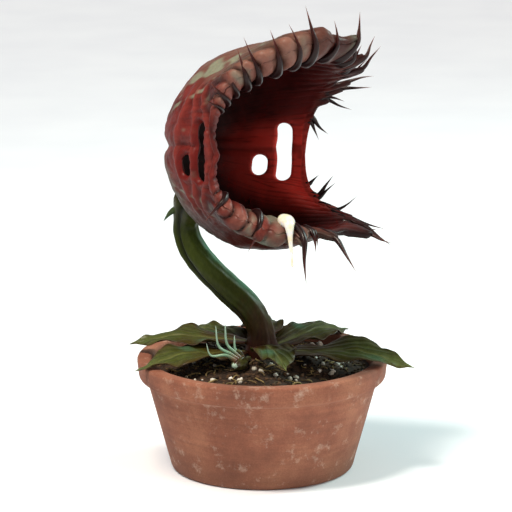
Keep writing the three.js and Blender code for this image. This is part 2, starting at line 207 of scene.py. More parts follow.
def curve_through(points, count):
    """Evenly spaced points on a smooth curve through the given ones.

    The curve's times, k, run by the square root of the distance, which keeps it from looping.
    """
    points = np.asarray(points, float)
    p = np.vstack([2 * points[0] - points[1], points, 2 * points[-1] - points[-2]])
    k = np.concatenate([[0], np.cumsum(np.linalg.norm(np.diff(p, axis=0), axis=1) ** 0.5)])
    fine = []
    for i in range(1, len(p) - 2):
        times = np.linspace(k[i], k[i + 1], 40)
        spans = [between(p[j], p[j + 1], k[j], k[j + 1], times) for j in (i - 1, i, i + 1)]
        first = between(spans[0], spans[1], k[i - 1], k[i + 1], times)
        last = between(spans[1], spans[2], k[i], k[i + 2], times)
        fine.append(between(first, last, k[i], k[i + 1], times))
    fine = np.vstack(fine)
    travelled = np.concatenate([[0], np.cumsum(np.linalg.norm(np.diff(fine, axis=0), axis=1))])
    wanted = np.linspace(0, travelled[-1], count)
    return np.stack([np.interp(wanted, travelled, fine[:, axis]) for axis in range(3)], axis=1)


def stem_frame(path, sideways):
    """Two directions square to the path at each of its points. The second is roughly sideways."""
    along = unit(np.gradient(path, axis=0))
    side = unit(np.cross(along, np.broadcast_to(sideways, along.shape)))
    return side, np.cross(side, along)


def add_stem(bm, path, radii, sides, sideways=(0, 1, 0), shape=None):
    """Adds a stem along a path, drawn to a point at both ends.

    shape, where given, turns (turn, share, radius) into a radius.
    """
    steps = len(path) - 1
    stem = ruled_sheet(sides, steps)
    turn, share = kept(stem, "across") * TAU, kept(stem, "along")
    row = np.rint(share * steps).astype(int)
    side, back = stem_frame(path, np.asarray(sideways, float))
    radii = np.array(radii, float)
    radii[[0, -1]] = STEM_POINT
    radius = radii[row]
    if shape is not None:
        radius = shape(turn, share, radius)
    spread = side[row] * np.cos(turn)[:, None] + back[row] * np.sin(turn)[:, None]
    lay(stem, path[row] + spread * radius[:, None])
    close_up(stem)
    held = bpy.data.meshes.new("stem")
    stem.to_mesh(held)
    stem.free()
    bm.from_mesh(held)
    bpy.data.meshes.remove(held)


# ---- The trap ----

TRAP_ANGLES = [math.radians(-turn) for turn in (TRAP_ROLL, TRAP_PITCH, TRAP_YAW)]
TRAP_TURN = np.array(Euler(TRAP_ANGLES, "XYZ").to_matrix())


def to_plant(points):
    """Points of the trap's own frame, in the plant's frame."""
    return points @ TRAP_TURN.T + TRAP_CENTRE


def to_trap(points):
    """Points of the plant's frame, in the trap's own frame."""
    return (points - TRAP_CENTRE) @ TRAP_TURN


def squared(value):
    """A sine or cosine, changed so that the mouth comes out squarer than round."""
    return np.sign(value) * np.abs(value) ** (2 / MOUTH_SQUARENESS)


def mouth_edge(place):
    """The direction of the mouth's edge at a place round it.

    Place 0 is the top, and the far cheek comes next.
    """
    azimuth = np.radians(MOUTH_SIDE * squared(np.sin(place)))
    reach = np.where(np.cos(place) > 0, MOUTH_UP, MOUTH_DOWN)
    elevation = np.radians(reach * squared(np.cos(place)) + MOUTH_SAG * np.sin(place) ** 2)
    level = np.cos(elevation)
    return np.stack([level * np.cos(azimuth), level * np.sin(azimuth), np.sin(elevation)], axis=-1)


def lips(place):
    """1 at the middle of each lip, and 0 at the cheeks, where the lobes join."""
    return np.abs(np.cos(place)) ** 0.7


def lobe(place, share, inset):
    """The lobes' skin, from the middle of the back at share 0 to the edge at share 1."""
    edge = mouth_edge(place)
    around = np.arctan2(edge[..., 1], edge[..., 2])
    opening = np.arccos(-edge[..., 0]) * share
    direction = np.stack(
        [-np.cos(opening), np.sin(opening) * np.sin(around), np.sin(opening) * np.cos(around)], axis=-1
    )
    egg = EGG - inset
    outward = unit(direction / egg)
    point = direction * egg + EGG_SHIFT
    margin = smooth(share, 0.72, 1)
    turned_out = margin * margin * FLARE * (0.35 + 0.65 * lips(place))
    groove = HINGE_GROOVE * np.exp(-((point[..., 2] / RIDGE_WIDTH) ** 2)) * (1 - margin)
    keel = KEEL * np.exp(-((point[..., 1] / RIDGE_WIDTH) ** 2))
    keel *= smooth(-point[..., 2], 1, 6) * smooth(-point[..., 0], 8, 16)
    return point + outward * (turned_out - groove + keel)[..., None]


def pucker_phase(place):
    """Where a place round the mouth lies in the row of pleats. A pleat takes up one whole turn, unevenly."""
    wander = 2.6 * np.sin(3 * place + 1.3) + 1.6 * np.sin(7 * place + 0.4) + 0.9 * np.sin(13 * place + 2)
    return PUCKERS * place + wander


def far_side(place):
    """0 along the near lips and 1 along the far ones. The lower lip changes over sooner."""
    upper = smooth(np.cos(place), -0.3, 0.3)
    return smooth(np.sin(place), lerp(-0.45, -0.22, upper), lerp(0.0, 0.5, upper))


def trap_middle(place, along):
    """The middle of the lobes' wall. The near lip is rolled out, and the far one is drawn into points."""
    edge_share = lerp(1.0, lerp(0.86, 0.92, far_side(place)), lips(place))
    body = np.minimum(along / ROLL_START, 1) ** 0.95 * edge_share
    ahead = unit(lobe(place, edge_share, WALL / 2) - lobe(place, edge_share - 0.01, WALL / 2))
    beside = unit(lobe(place + 0.01, edge_share, WALL / 2) - lobe(place - 0.01, edge_share, WALL / 2))
    outward = np.cross(ahead, beside)
    far = far_side(place)
    roll = np.clip((along - ROLL_START) / (1 - ROLL_START), 0, 1)
    turn = np.radians(lerp(NEAR_LIP_TURN, FAR_LIP_TURN, far)) * roll
    radius = lerp(CHEEK_LIP_RADIUS, lerp(NEAR_LIP_RADIUS, FAR_LIP_RADIUS, far), lips(place))
    point = np.abs(np.cos(pucker_phase(place) / 2)) ** 5
    drawn = DRAWN_POINT * point * lerp(0.12, 1, far) * smooth(lips(place), 0.5, 0.85) * smooth(roll, 0.3, 1)
    forward = radius * np.sin(turn) + drawn * np.cos(turn)
    out = radius * (1 - np.cos(turn)) + drawn * np.sin(turn)
    return lobe(place, body, WALL / 2) + ahead * forward[..., None] + outward * out[..., None]


def rolled_share(place):
    """1 where the lip is a thick roll, as along the near lips, and 0 where its edge is thin."""
    return (1 - far_side(place)) * smooth(lips(place), 0.42, 0.85)


def back_skin(place, along):
    """The middle of the wall, but with the near lip's back filled out from the lobe to the lip's edge."""
    start = np.full_like(place, BACK_START)
    low, high = trap_middle(place, start), trap_middle(place, np.ones_like(place))
    reach = BACK_EASE * np.linalg.norm(high - low, axis=-1)[..., None]
    leaving = low + unit(low - trap_middle(place, start - 0.01)) * reach
    arriving = high + unit(high - trap_middle(place, np.full_like(place, 0.98))) * LIP_DOME
    share = np.clip((along - BACK_START) / (1 - BACK_START), 0, 1)[..., None]
    rest = 1 - share
    filled = rest**3 * low + 3 * share * rest**2 * leaving + 3 * share**2 * rest * arriving + share**3 * high
    near = np.where(along > BACK_START, rolled_share(place), 0)[..., None]
    return lerp(trap_middle(place, along), filled, near)


def puckers(place, along):
    """The pleats across the lips: 1 over a pleat's flat top and 0 in the sharp crease between two."""
    slant = 2.6 * np.sin(4 * place + 7 * along) * (1 - along) + 0.7 * np.sin(9 * place + 16 * along)
    return np.abs(np.cos((pucker_phase(place) + slant) / 2)) ** 0.36


def slot_distance(points, hole):
    """How far points of the trap lie outside a cheek hole, and the way there. It is negative inside."""
    forward, height, half_width, half_length = hole
    spine = np.clip(points[:, 2] - height, half_width - half_length, half_length - half_width)
    away = np.stack([points[:, 0] - forward, np.zeros(len(points)), points[:, 2] - height - spine], axis=1)
    reach = np.linalg.norm(away, axis=1)
    distance = np.where(np.abs(points[:, 1]) > CHEEK_START, reach - half_width, 99)
    return distance, away / np.maximum(reach, 1e-6)[:, None]


def cords(points):
    """The cords up and down a cheek beside its holes: 1 along a cord's crest, and 0 away from it."""
    bow = 1 - (points[:, 2] / 26) ** 2
    crests = [
        np.exp(-(((points[:, 0] - forward * bow + 0.5 * np.sin(points[:, 2] / 4 + forward)) / 1.25) ** 2))
        for forward in CORDS
    ]
    reach = smooth(np.abs(points[:, 1]), 10, 15) * (1 - smooth(np.abs(points[:, 2] + 2), 15, 24))
    return np.max(crests, axis=0) * reach


def wall_normal(place, along, surface=trap_middle):
    """The outward direction of the wall."""
    step = 0.004
    along = np.maximum(along, step)
    beside = surface(place + step, along) - surface(place - step, along)
    low, high = np.maximum(along - step, 1e-4), np.minimum(along + step, 1)
    return unit(np.cross(surface(place, high) - surface(place, low), beside))


def cut_cheek_holes(bm):
    """Cuts the holes through the cheeks. The vertices of every free edge remember it, as ring."""
    spots = np.array([face.calc_center_median() for face in bm.faces])
    inside = np.min([slot_distance(spots, hole)[0] for hole in CHEEK_HOLES], axis=0) < 0
    bm.faces.ensure_lookup_table()
    bmesh.ops.delete(bm, geom=[bm.faces[i] for i in np.flatnonzero(inside)], context="FACES")
    ring = bm.verts.layers.float.new("ring")
    for vert in bm.verts:
        vert[ring] = vert.is_boundary


def with_true_holes(middle, normal, on_ring):
    """The wall, with the stepped edges of its holes moved onto their true outlines."""
    for hole in CHEEK_HOLES:
        distance, away = slot_distance(middle, hole)
        near = on_ring & (np.abs(distance) < 1.0)
        shift = -away * distance[:, None]
        level = np.where(np.abs(normal[:, 1]) > 0.3, normal[:, 1], 1)
        shift[:, 1] = -(normal[:, 0] * shift[:, 0] + normal[:, 2] * shift[:, 2]) / level
        middle = np.where(near[:, None], middle + shift, middle)
    return middle


def trap_relief(place, along, side, middle, hole_distance):
    """How far the skin stands out on the outside and the inside, and its pleats and cords by themselves."""
    crest = puckers(place, along)
    uneven = np.stack([4.2 * np.sin(place), 4.2 * np.cos(place), 0.6 * along], axis=1)
    rolled = rolled_share(place)
    crown = rolled * (side < 0.5)
    wander = 0.16 * rough(uneven, 0.9, 14) * (1 - 0.5 * crown)
    band = smooth(along + wander, 0.44 + 0.3 * crown, 0.86 + 0.1 * crown)
    lip = (0.2 + 0.8 * lips(place)) * (0.85 + 0.8 * rough(uneven, 0.3, 15)) * lerp(1, 0.45, far_side(place))
    folds = band * np.maximum(lip, 0.1) * PUCKER_DEPTH * (crest - 0.82)
    fine = np.abs(np.cos(67 * place / 2 + 2.5 * np.sin(4 * place) + 3 * along)) ** 0.7 - 0.5
    lumps = 0.8 * rough(middle, 12, 16) + 0.55 * rough(middle, 5.5, 1) + 0.3 * rough(middle, 2.4, 2)
    veins = np.abs(rough(middle, 4.0, 3)) ** 0.6
    cord = cords(middle) * smooth(hole_distance, 0.3, 1.2)
    welt = 0.75 * np.exp(-(((hole_distance - 1.3) / 0.9) ** 2))
    outside = folds + 0.38 * fine * band + lumps * (0.5 + 0.4 * band) - 0.35 * (1 - veins) * (1 - band)
    outside += np.maximum(0.85 * cord, welt)
    bead = smooth(along, ROLL_START - 0.06, ROLL_START + 0.04)
    inside = lerp(-0.2, 1.0, bead) * folds + lerp(-0.4, 0.9, bead * rolled) * lumps + 0.38 * fine * band
    pleats = lerp(0.8, crest, np.clip(1.6 * band * lip, 0, 1)) + 0.12 * lumps
    return outside, inside, pleats, cord


def trap_patterns(place, along, side, middle, plant, cord):
    """What the trap's finish goes by: where each point lies, its streaks and veins, and its painted glow,
    shade and highlights, some beside the nectar.
    """
    streak = np.stack([7.5 * np.sin(place), 7.5 * np.cos(place), 2.3 * along], axis=1)
    pale = smooth(rough(streak, 1.0, 8) + 0.9 * rough(middle, 4.5, 9), 0.24, 0.62) * (1 - 0.7 * cord)
    pale *= smooth(along, 0.24, 0.44) * (1 - smooth(along, 0.66, 0.78)) * smooth(np.abs(middle[:, 2]), 2, 5)
    far_lip = np.where(side > 0.5, smooth(along, ROLL_START + 0.01, 0.92), smooth(along, 0.66, 0.84))
    # Painted glow: where the thin far cheek would be lit through from behind, its colour turns bright red.
    lit_through = smooth(np.sin(place) - 0.5 * smooth(np.cos(place), -0.1, 0.5), 0.3, 0.95)
    # A sage tint and painted highlight beside the drop of nectar, and a painted highlight on the tops of the
    # near lip's pleats.
    beside_drop = np.exp(-(((place - DROP_PLACE) / 0.2) ** 2)) * smooth(along, 0.72, 0.84)
    beside_drop *= smooth(rough(middle, 6, 18), -0.35, 0.25)
    on_crests = rolled_share(place) * smooth(along, 0.88, 0.97) * puckers(place, along) ** 3
    on_crests *= smooth(rough(middle, 6, 19), 0.05, 0.4)
    return {
        "depth": along,
        "margin": smooth(along, 0.5, 0.86),
        "roll": smooth(along, ROLL_START - 0.02, 0.96),
        "lip": smooth(lips(place), 0.3, 0.8),
        "point": far_side(place) * smooth(along, 0.86, 1.0) * lips(place),
        "far": smooth(np.sin(place), -0.3, 0.02) * far_lip,
        "pale": pale,
        "painted_glow": lit_through * smooth(along, 0.25, 0.82) * lerp(0.3, 1, side),
        "sage_and_painted_highlight": beside_drop + on_crests,
        "vein": 1 - smooth(np.abs(rough(streak * np.array([2.2, 2.2, 1]), 1.0, 11)), 0.0, 0.12),
        # Painted shade: the low share darkens the trap towards its underside.
        "low": 1 - smooth(plant[:, 2] + 2.5 * rough(middle, 7, 17), LEAF_LEVEL + 38, LEAF_LEVEL + 62),
        "high": smooth(rough(middle, 7, 12) * 9 + plant[:, 2], LEAF_LEVEL + 84, LEAF_LEVEL + 100),
        "stem": smooth(-np.linalg.norm(middle - STEM_JOIN, axis=1) + 3 * rough(middle, 5, 13), -22, -8),
    }


def make_trap(flesh, lining):
    """The two lobes, grown as one wall with two skins, with their lips and the holes through their cheeks."""
    bm = ruled_sheet(*TRAP_MESH)
    lay(bm, trap_middle(kept(bm, "across") * TAU, kept(bm, "along")))
    bmesh.ops.remove_doubles(bm, verts=bm.verts, dist=0.002)
    cut_cheek_holes(bm)
    doubled(bm)
    bm.verts.index_update()

    place, along = kept(bm, "across") * TAU, kept(bm, "along")
    side, on_ring = kept(bm, "side"), kept(bm, "ring") > 0.5
    wall, normal = trap_middle(place, along), wall_normal(place, along)
    middle = with_true_holes(wall, normal, on_ring)
    hole_distance = np.min([slot_distance(middle, hole)[0] for hole in CHEEK_HOLES], axis=0)
    outside, inside, pleats, cord = trap_relief(place, along, side, middle, hole_distance)

    # The wall's thickness, rounded off at the holes and at the far lip's edge.
    end = 1 - smooth(along, 0.985, 1.0)
    edge = np.clip(hole_distance / 0.9, 0, 1)
    rounding = np.sqrt(1 - (1 - edge) ** 2) * lerp(np.sqrt(np.clip(end, 0.02, 1)), 1, rolled_share(place))
    lip_wall = lerp(NEAR_LIP_WALL, FAR_LIP_WALL, far_side(place)) * (0.5 + 0.5 * lips(place))
    thickness = lerp(WALL, lip_wall, smooth(along, 0.62, 0.86)) * np.clip(rounding, 0.12, 1)
    back = back_skin(place, along) + (middle - wall)
    out = wall_normal(place, along, back_skin)
    outer = back + out * (thickness / 2 + outside * rounding)[:, None]
    inner = middle - normal * (0.98 * thickness / 2 + inside * rounding)[:, None]
    plant = to_plant(np.where(side[:, None] > 0.5, inner, outer))
    lay(bm, plant)
    turn_outwards(bm)
    bm.verts.index_update()

    lined = (side > 0.5) & (along < ROLL_START + 0.02)
    for face in bm.faces:
        face.material_index = int(all(lined[vert.index] for vert in face.verts))
    patterns = {
        "inside": side,
        "crest": pleats,
        "cord": cord,
        "hole": np.exp(-((np.maximum(hole_distance, 0) / 1.6) ** 2)),
        **trap_patterns(place, along, side, middle, plant, cord),
    }
    piece = finished("trap_lobes", bm, flesh, ["trap"], patterns)
    piece.data.materials.append(lining)
    return piece


def spine_places(middle, half_span):
    """The places of one lip's spines: in the near lip's creases, and on the far lip's pleats."""
    round_mouth = np.linspace(-math.pi, 2 * math.pi, 6000)
    phase = pucker_phase(round_mouth)
    halves = np.arange(np.ceil(phase[0] / math.pi), np.floor(phase[-1] / math.pi) + 1)
    found = np.interp(halves * math.pi, phase, round_mouth)
    far = far_side(found)
    wanted = np.where(far > 0.5, halves % 2 == 0, halves % 2 == 1) | (np.abs(far - 0.6) < 0.3)
    return found[wanted & (np.abs(found - middle) < half_span)]


def add_spine(bm, place, seed, size=1.0):
    """One spine. It lies in a crease across the near lip, or leaves a point of the far lip."""
    lean_out, lean_beside, sweep, longer, curl = np.random.default_rng(seed).uniform(-1, 1, 5)
    far = float(far_side(place))
    lip = abs(math.cos(place)) ** 2

    # It starts behind the lip and runs over the lip's middle to the lip's edge.
    rows = ROLL_START + np.array([0.0, 0.12, 0.5, 0.95]) * (1 - ROLL_START)
    here = np.full(len(rows), place)
    wall, front = trap_middle(here, rows), -wall_normal(here, rows)
    raised = np.array([1.1, 1.9, 1.9]) * (1 - far) * lip**0.4
    root, middle, edge = wall[1:] + front[1:] * raised[:, None]

    # From there it heads out, and bends towards its tip.
    forward = unit(wall[1] - wall[0])
    beside = unit(trap_middle(here[:1] + 0.01, rows[:1])[0] - wall[0])
    outward = np.cross(forward, beside)
    upright = np.array([0, 0, math.copysign(1, math.cos(place))])
    fan_most = SPINE_FAN_UPPER if upright[2] > 0 else SPINE_FAN_LOWER
    fan = math.radians(lerp(SPINE_FAN_CHEEK, fan_most, float(smooth(lip, 0.08, 0.9))))
    fanned = unit(edge - middle) * math.cos(fan) + upright * math.sin(fan)
    swept = outward * 0.8 + upright * 0.7 * lip - forward * 0.15
    heading = unit(lerp(swept, fanned, far) + 0.25 * (outward * lean_out + beside * lean_beside))
    curled = lerp(upright * 0.7 * lip - forward * 0.6, forward * 0.2 - outward * 0.5, far)
    bend = unit(curled + beside * 0.8 * sweep)
    length = lerp(lerp(6.5, 12.5, lip), lerp(8.5, 12, lip), far) * (1 + 0.3 * longer) * size
    half_way = edge + heading * length * 0.5 + bend * 0.06 * length
    end = edge + heading * length + bend * 0.3 * length * (0.7 + 0.3 * curl)
    on_lip = [lerp(root, middle, 0.5 * far), lerp(middle, edge, 0.5 * far), edge]
    path = curve_through([*on_lip, half_way, end], SPINE_PLACES)

    share = np.linspace(0, 1, SPINE_PLACES)
    swell = 0.45 + 0.55 * smooth(share, 0, 0.16)
    foot = lerp(2.0, 1.6, far) * (0.5 + 0.5 * size) * (0.7 + 0.3 * lip)
    radii = foot * ((1 - share) ** 1.3 * swell + 0.09 * (1 - share) ** 0.5)

    def ribbed(turn, share, radius):
        return radius * (1 + 0.12 * np.cos(4 * turn + 3 * share) * (1 - share))

    add_stem(bm, path, radii, SPINE_SIDES, beside, ribbed)


def make_spines(spine_skin):
    """The spines of both lips. Only every third crease of the near lower lip holds one."""
    bm = bmesh.new()
    half = math.radians(SPINE_SPAN)
    upper, lower = spine_places(0, half), spine_places(math.pi, half)
    lower = [place for i, place in enumerate(lower) if far_side(place) > 0.5 or i % 3 == 0]
    for index, place in enumerate([*upper, *lower]):
        add_spine(bm, place, seed=index + 10, size=1.0 if index % 2 else 0.72)
        if index % 2 and far_side(place) > 0.5:
            add_spine(bm, place + 0.05, seed=index + 200, size=0.6)
    tips = kept(bm, "along")
    lay(bm, to_plant(places_of(bm)))
    return finished("trap_spines", bm, spine_skin, (), {"tip": tips})


def make_trigger_hairs(spine_skin):
    """Three fine hairs on the inside of each lobe, which spring the trap."""
    bm = bmesh.new()
    for middle in (0, math.pi):
        for turn, along in ((-0.5, 0.42), (0.0, 0.5), (0.5, 0.42)):
            here, there = np.array([middle + turn]), np.array([along])
            foot = trap_middle(here, there)[0]
            inward = -wall_normal(here, there)[0]
            lean = unit(np.array([1.0, 0.3 * turn, 0]))
            share = np.linspace(0, 1, 12)
            path = foot + inward * (0.5 + 4.2 * share)[:, None] + lean * (1.2 * share**2)[:, None]
            radii = 0.26 * (1 - share) ** 0.7 + 0.2 * np.exp(-share * 9)
            add_stem(bm, path, radii, 8, (0, 1, 0.1))
    tips = kept(bm, "along")
    lay(bm, to_plant(places_of(bm)))
    return finished("trigger_hairs", bm, spine_skin, (), {"tip": tips})


# ---- Stalk, bract and nectar ----

STALK_POINTS = [
    (0, 0, STALK_FOOT),
    (0, 0, LEAF_LEVEL - 1),
    (-0.6, 0.4, LEAF_LEVEL + 6.5),
    (-4, 1.4, LEAF_LEVEL + 13),
    (-10.4, 3, LEAF_LEVEL + 19),
    (-17, 5, LEAF_LEVEL + 25),
    (-22.2, 7, LEAF_LEVEL + 31.4),
    (-24.4, 8.4, LEAF_LEVEL + 38.4),
    tuple(to_plant(STEM_JOIN * 0.8)),
]
STALK_PATH = curve_through(STALK_POINTS, STALK_PLACES)
STALK_LENGTH = np.linalg.norm(np.diff(STALK_PATH, axis=0), axis=1).sum()


def stalk_radius(share):
    """The stalk thins towards its neck, and flares out at the crown."""
    tapered = lerp(STALK_RADIUS, NECK_RADIUS, smooth(share, 0.5, 0.95))
    flare = np.maximum(0, 1 - share * STALK_LENGTH / FLARE_HEIGHT)
    return tapered + (CROWN_RADIUS - STALK_RADIUS) * flare * flare * (3 - 2 * flare)


def make_stalk(stalk_skin):
    """The thick stalk, ribbed and with one groove up its length."""
    share = np.linspace(0, 1, STALK_PLACES)
    radii = stalk_radius(share) + 2.2 * smooth(share, 0.8, 0.95) - 3.0 * smooth(share, 0.95, 1)

    def from_groove(turn, share):
        """The angle round the stalk from its groove, -pi to pi."""
        away = turn - 5.35 - 0.3 * np.sin(4 * share)
        return (away + math.pi) % TAU - math.pi

    def grooved(turn, share, radius):
        groove = 0.8 * np.exp(-((from_groove(turn, share) / 0.17) ** 2))
        ridge = 0.4 * np.exp(-(((from_groove(turn, share) - 0.42) / 0.24) ** 2))
        ribs = 0.14 * np.sin(9 * turn + 3 * np.sin(5 * share)) * smooth(share, 0, 0.3)
        relief = (ridge - groove) * smooth(share, 0.12, 0.3) + ribs
        return radius * (1 + 0.02 * np.sin(23 * share)) + relief * (1 - smooth(share, 0.97, 1))

    bm = bmesh.new()
    add_stem(bm, STALK_PATH, radii, STALK_SIDES, shape=grooved)
    share, turn = kept(bm, "along"), kept(bm, "across") * TAU
    places = places_of(bm)
    from_path = unit(places - STALK_PATH[(share * (STALK_PLACES - 1)).astype(int)])
    places += 0.22 * from_path * rough(places, 3.5, 20)[:, None]

    # The top spreads over the trap's round back.
    local = to_trap(places)
    depth = np.linalg.norm((local - EGG_SHIFT) / (EGG + 0.25), axis=1)
    seated = (local - EGG_SHIFT) / np.minimum(depth, 1)[:, None] + EGG_SHIFT
    lay(bm, np.where(share[:, None] > 0.8, to_plant(seated), places))
    turn_outwards(bm)
    band = smooth(share, 0.22, 0.36) * (1 - smooth(share, 0.62, 0.78))
    return finished(
        "stalk", bm, stalk_skin, ["trap_stalk"],
        {
            "height": share,
            # Painted highlight: blue-green down one side of the stalk, part way up.
            "painted_highlight": band * smooth(-np.cos(turn + 0.35) + 0.3 * rough(places, 4, 21), 0.35, 1.0),
            "groove": np.exp(-((from_groove(turn, share) / 0.2) ** 2)) * smooth(share, 0.12, 0.3),
        },
    )


def make_bract(stalk_skin):
    """The pointed scale at the left of the neck, its tip turned down."""
    low, high = (np.array(corner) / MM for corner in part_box("neck_bract"))
    level = (low[1] + high[1]) / 2
    tip, root = np.array([low[0], level, low[2]]), np.array([high[0] + 2.5, level, high[2] - 0.6])
    path = curve_through([root, lerp(root, tip, 0.5) + np.array([-0.5, 0, 0.9]), tip], 30)
    share = np.linspace(0, 1, len(path))
    radii = 2.3 * (1 - share) ** 0.9

    def flattened(turn, share, radius):
        return radius * (1 - 0.3 * np.cos(turn) ** 2)

    bm = bmesh.new()
    add_stem(bm, path, radii, 28, shape=flattened)
    along = kept(bm, "along")
    return finished(
        "bract", bm, stalk_skin, ["neck_bract"],
        # Painted highlight: blue-green towards the bract's tip.
        {"height": 0.8 + 0.2 * along, "painted_highlight": 0.35 * along},
    )


def make_drip(nectar):
    """A bead of nectar that runs over the lower lip and hangs from it in a thread."""
    low, high = (np.array(corner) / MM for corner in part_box("nectar_drip"))
    around = np.radians(np.linspace(188, 230, 120))
    edges = to_plant(trap_middle(around, np.ones_like(around)))
    place = around[np.argmin(np.linalg.norm((edges - (low + high) / 2)[:, :2], axis=1))]
    rows = np.array([0.85, 0.89, 0.93, 0.98])
    here = np.full_like(rows, place)
    off_wall = np.array([1.6, 2.3, 2.7, 3.2])[:, None]
    lying = to_plant(trap_middle(here, rows) - wall_normal(here, rows) * off_wall)
    foot = np.array([*(lying[-1] + 0.5 * (lying[-1] - lying[0]))[:2], low[2]])
    path = curve_through([*lying, *(lerp(lying[-1], foot, share) for share in (0.2, 0.55, 1))], 70)
    share = np.linspace(0, 1, len(path))
    radii = np.interp(
        share, [0, 0.02, 0.06, 0.12, 0.22, 0.34, 0.5, 0.75, 0.92, 0.96, 0.99, 1],
        [STEM_POINT, 1.7, 2.5, 2.8, 2.4, 1.5, 0.85, 0.5, 0.38, 0.5, 0.3, STEM_POINT],
    )
    beside = (trap_middle(here[:1] + 0.01, rows[:1]) - trap_middle(here[:1], rows[:1]))[0] @ TRAP_TURN.T

    def pressed(turn, share, radius):
        return radius * (1 - 0.25 * np.cos(turn) ** 2 * (1 - smooth(share, 0.2, 0.4)))

    bm = bmesh.new()
    add_stem(bm, path, radii, 28, unit(beside), pressed)
    for _ in range(2):
        bmesh.ops.smooth_vert(
            bm, verts=bm.verts, factor=0.5, use_axis_x=True, use_axis_y=True, use_axis_z=True,
        )
    return finished("nectar", bm, nectar, ["nectar_drip"])


# ---- The rosette ----

# Each leaf's angle from +X towards +Y, its length, width and lift over the leaf level, and its sideways tilt.
LEAVES = {
    "leaf_right_front": (-17, 44, 19, -0.6, 14),
    "leaf_right_back": (50, 39, 17, -0.6, 8),
    "leaf_back": (90, 33, 14, 2, 0),
    "leaf_left_back": (126, 38, 14, -0.6, -6),
    "leaf_left": (174, 38, 16, 2, -8),
    "leaf_left_front": (205, 38, 17, -0.6, -10),
    "leaf_front": (285, 23, 15, 2, 0),
}


def leaf_width(share):
    """A clasping base, a broad middle and a drawn-out tip, as a share of the full width."""
    belly = np.sin(math.pi * (0.06 + 0.94 * share) ** 0.86)
    return np.maximum(0.02, 0.1 * (1 - share) + 0.88 * np.maximum(belly, 0) ** 1.15)


def make_leaf(name, leaf_skin, angle, length, width, lift, roll):
    """A fleshy pointed blade, ruffled along its edges, with a sunk midrib and blistered between its veins."""
    seed = angle % 97
    bm = ruled_sheet(*LEAF_MESH)
    doubled(bm)
    across, along, side = 2 * kept(bm, "across") - 1, kept(bm, "along"), kept(bm, "side")
    heading = math.radians(angle)
    outward = np.array([math.cos(heading), math.sin(heading), 0])
    sideways = np.array([-math.sin(heading), math.cos(heading), 0])
    slope = math.tan(math.radians(roll))
    root = stalk_radius((LEAF_LEVEL + lift - STALK_FOOT) / STALK_LENGTH) + 0.3

    # The blade's middle surface.
    wave = np.sin(TAU * 2.3 * along + seed) + 0.5 * np.sin(TAU * 4.1 * along + 2 * seed + across)
    half = 0.5 * width * leaf_width(along) * (1 + 0.05 * wave * across**2)
    out = half * across
    body = smooth(along, 0.05, 0.25) * (1 - smooth(along, 0.86, 1))
    height = LEAF_LEVEL + lift + 1.2 * np.sin(math.pi * along) - 1.8 * along**2
    height += smooth(along, 0.2, 0.65) * (slope * out + abs(slope) * half)
    height += 0.09 * half * np.abs(across) ** 1.6
    ruffle = np.sin(TAU * 2.6 * along + seed + 1.9 * np.sign(across))
    ruffle += 0.3 * np.sin(TAU * 5 * along + 3 * seed)
    height += 0.8 * ruffle * np.abs(across) ** 2.5 * body
    middle = outward * (root + length * along)[:, None] + sideways * out[:, None]
    middle[:, 2] = height

    # Its thickness and its relief, on either side.
    rib = np.exp(-((out / (0.75 * (1.15 - along))) ** 2))
    lobes = np.sin(TAU * (np.abs(out) / 2.6 - 1.9 * along) + 0.4 * np.sin(9 * along + seed))
    blister = 0.35 * rough(middle, 3.4, seed) + 0.13 * lobes * (1 - rib)
    top_relief = (blister - 0.55 * rib * (1 - 0.7 * along)) * body
    under_relief = (0.8 * rib * (1 - 0.8 * along) - 0.6 * blister) * body
    thick = 0.55 * (1 - 0.55 * along) * (1 - 0.8 * np.abs(across) ** 4)
    thick *= 1 - 0.9 * smooth(along, 0.96, 1)
    middle[:, 2] += np.where(side < 0.5, thick + top_relief, -thick - under_relief)
    lay(bm, middle)
    close_up(bm, 0.0005)

    across, along, side = 2 * kept(bm, "across") - 1, kept(bm, "along"), kept(bm, "side")
    out = 0.5 * width * leaf_width(along) * across
    return finished(
        name + "_blade", bm, leaf_skin, [name],
        {
            "along": along,
            "edge": np.abs(across) ** 4,
            "rib": np.exp(-((out / (0.9 * (1.15 - along))) ** 2)),
            "under": side,
            "vein": np.abs(out) / 2.2 - 2.1 * along,
            # Painted sheen: blue-green patches, more of them towards the tip.
            "painted_sheen": 0.7 * smooth(rough(places_of(bm), 8, seed + 5) + 0.45 * along, 0.42, 0.85),
        },
    )


# ---- The young trap, still folded, with its pale spines ----

YOUNG_FOOT = np.array([-4.1, -8, LEAF_LEVEL - 1])
YOUNG_TIP = np.array([-8.9, -17.4, LEAF_LEVEL - 1.1])
YOUNG_HALF_WIDTH, YOUNG_HALF_HEIGHT = 2.4, 2.1
YOUNG_SPINES = 4


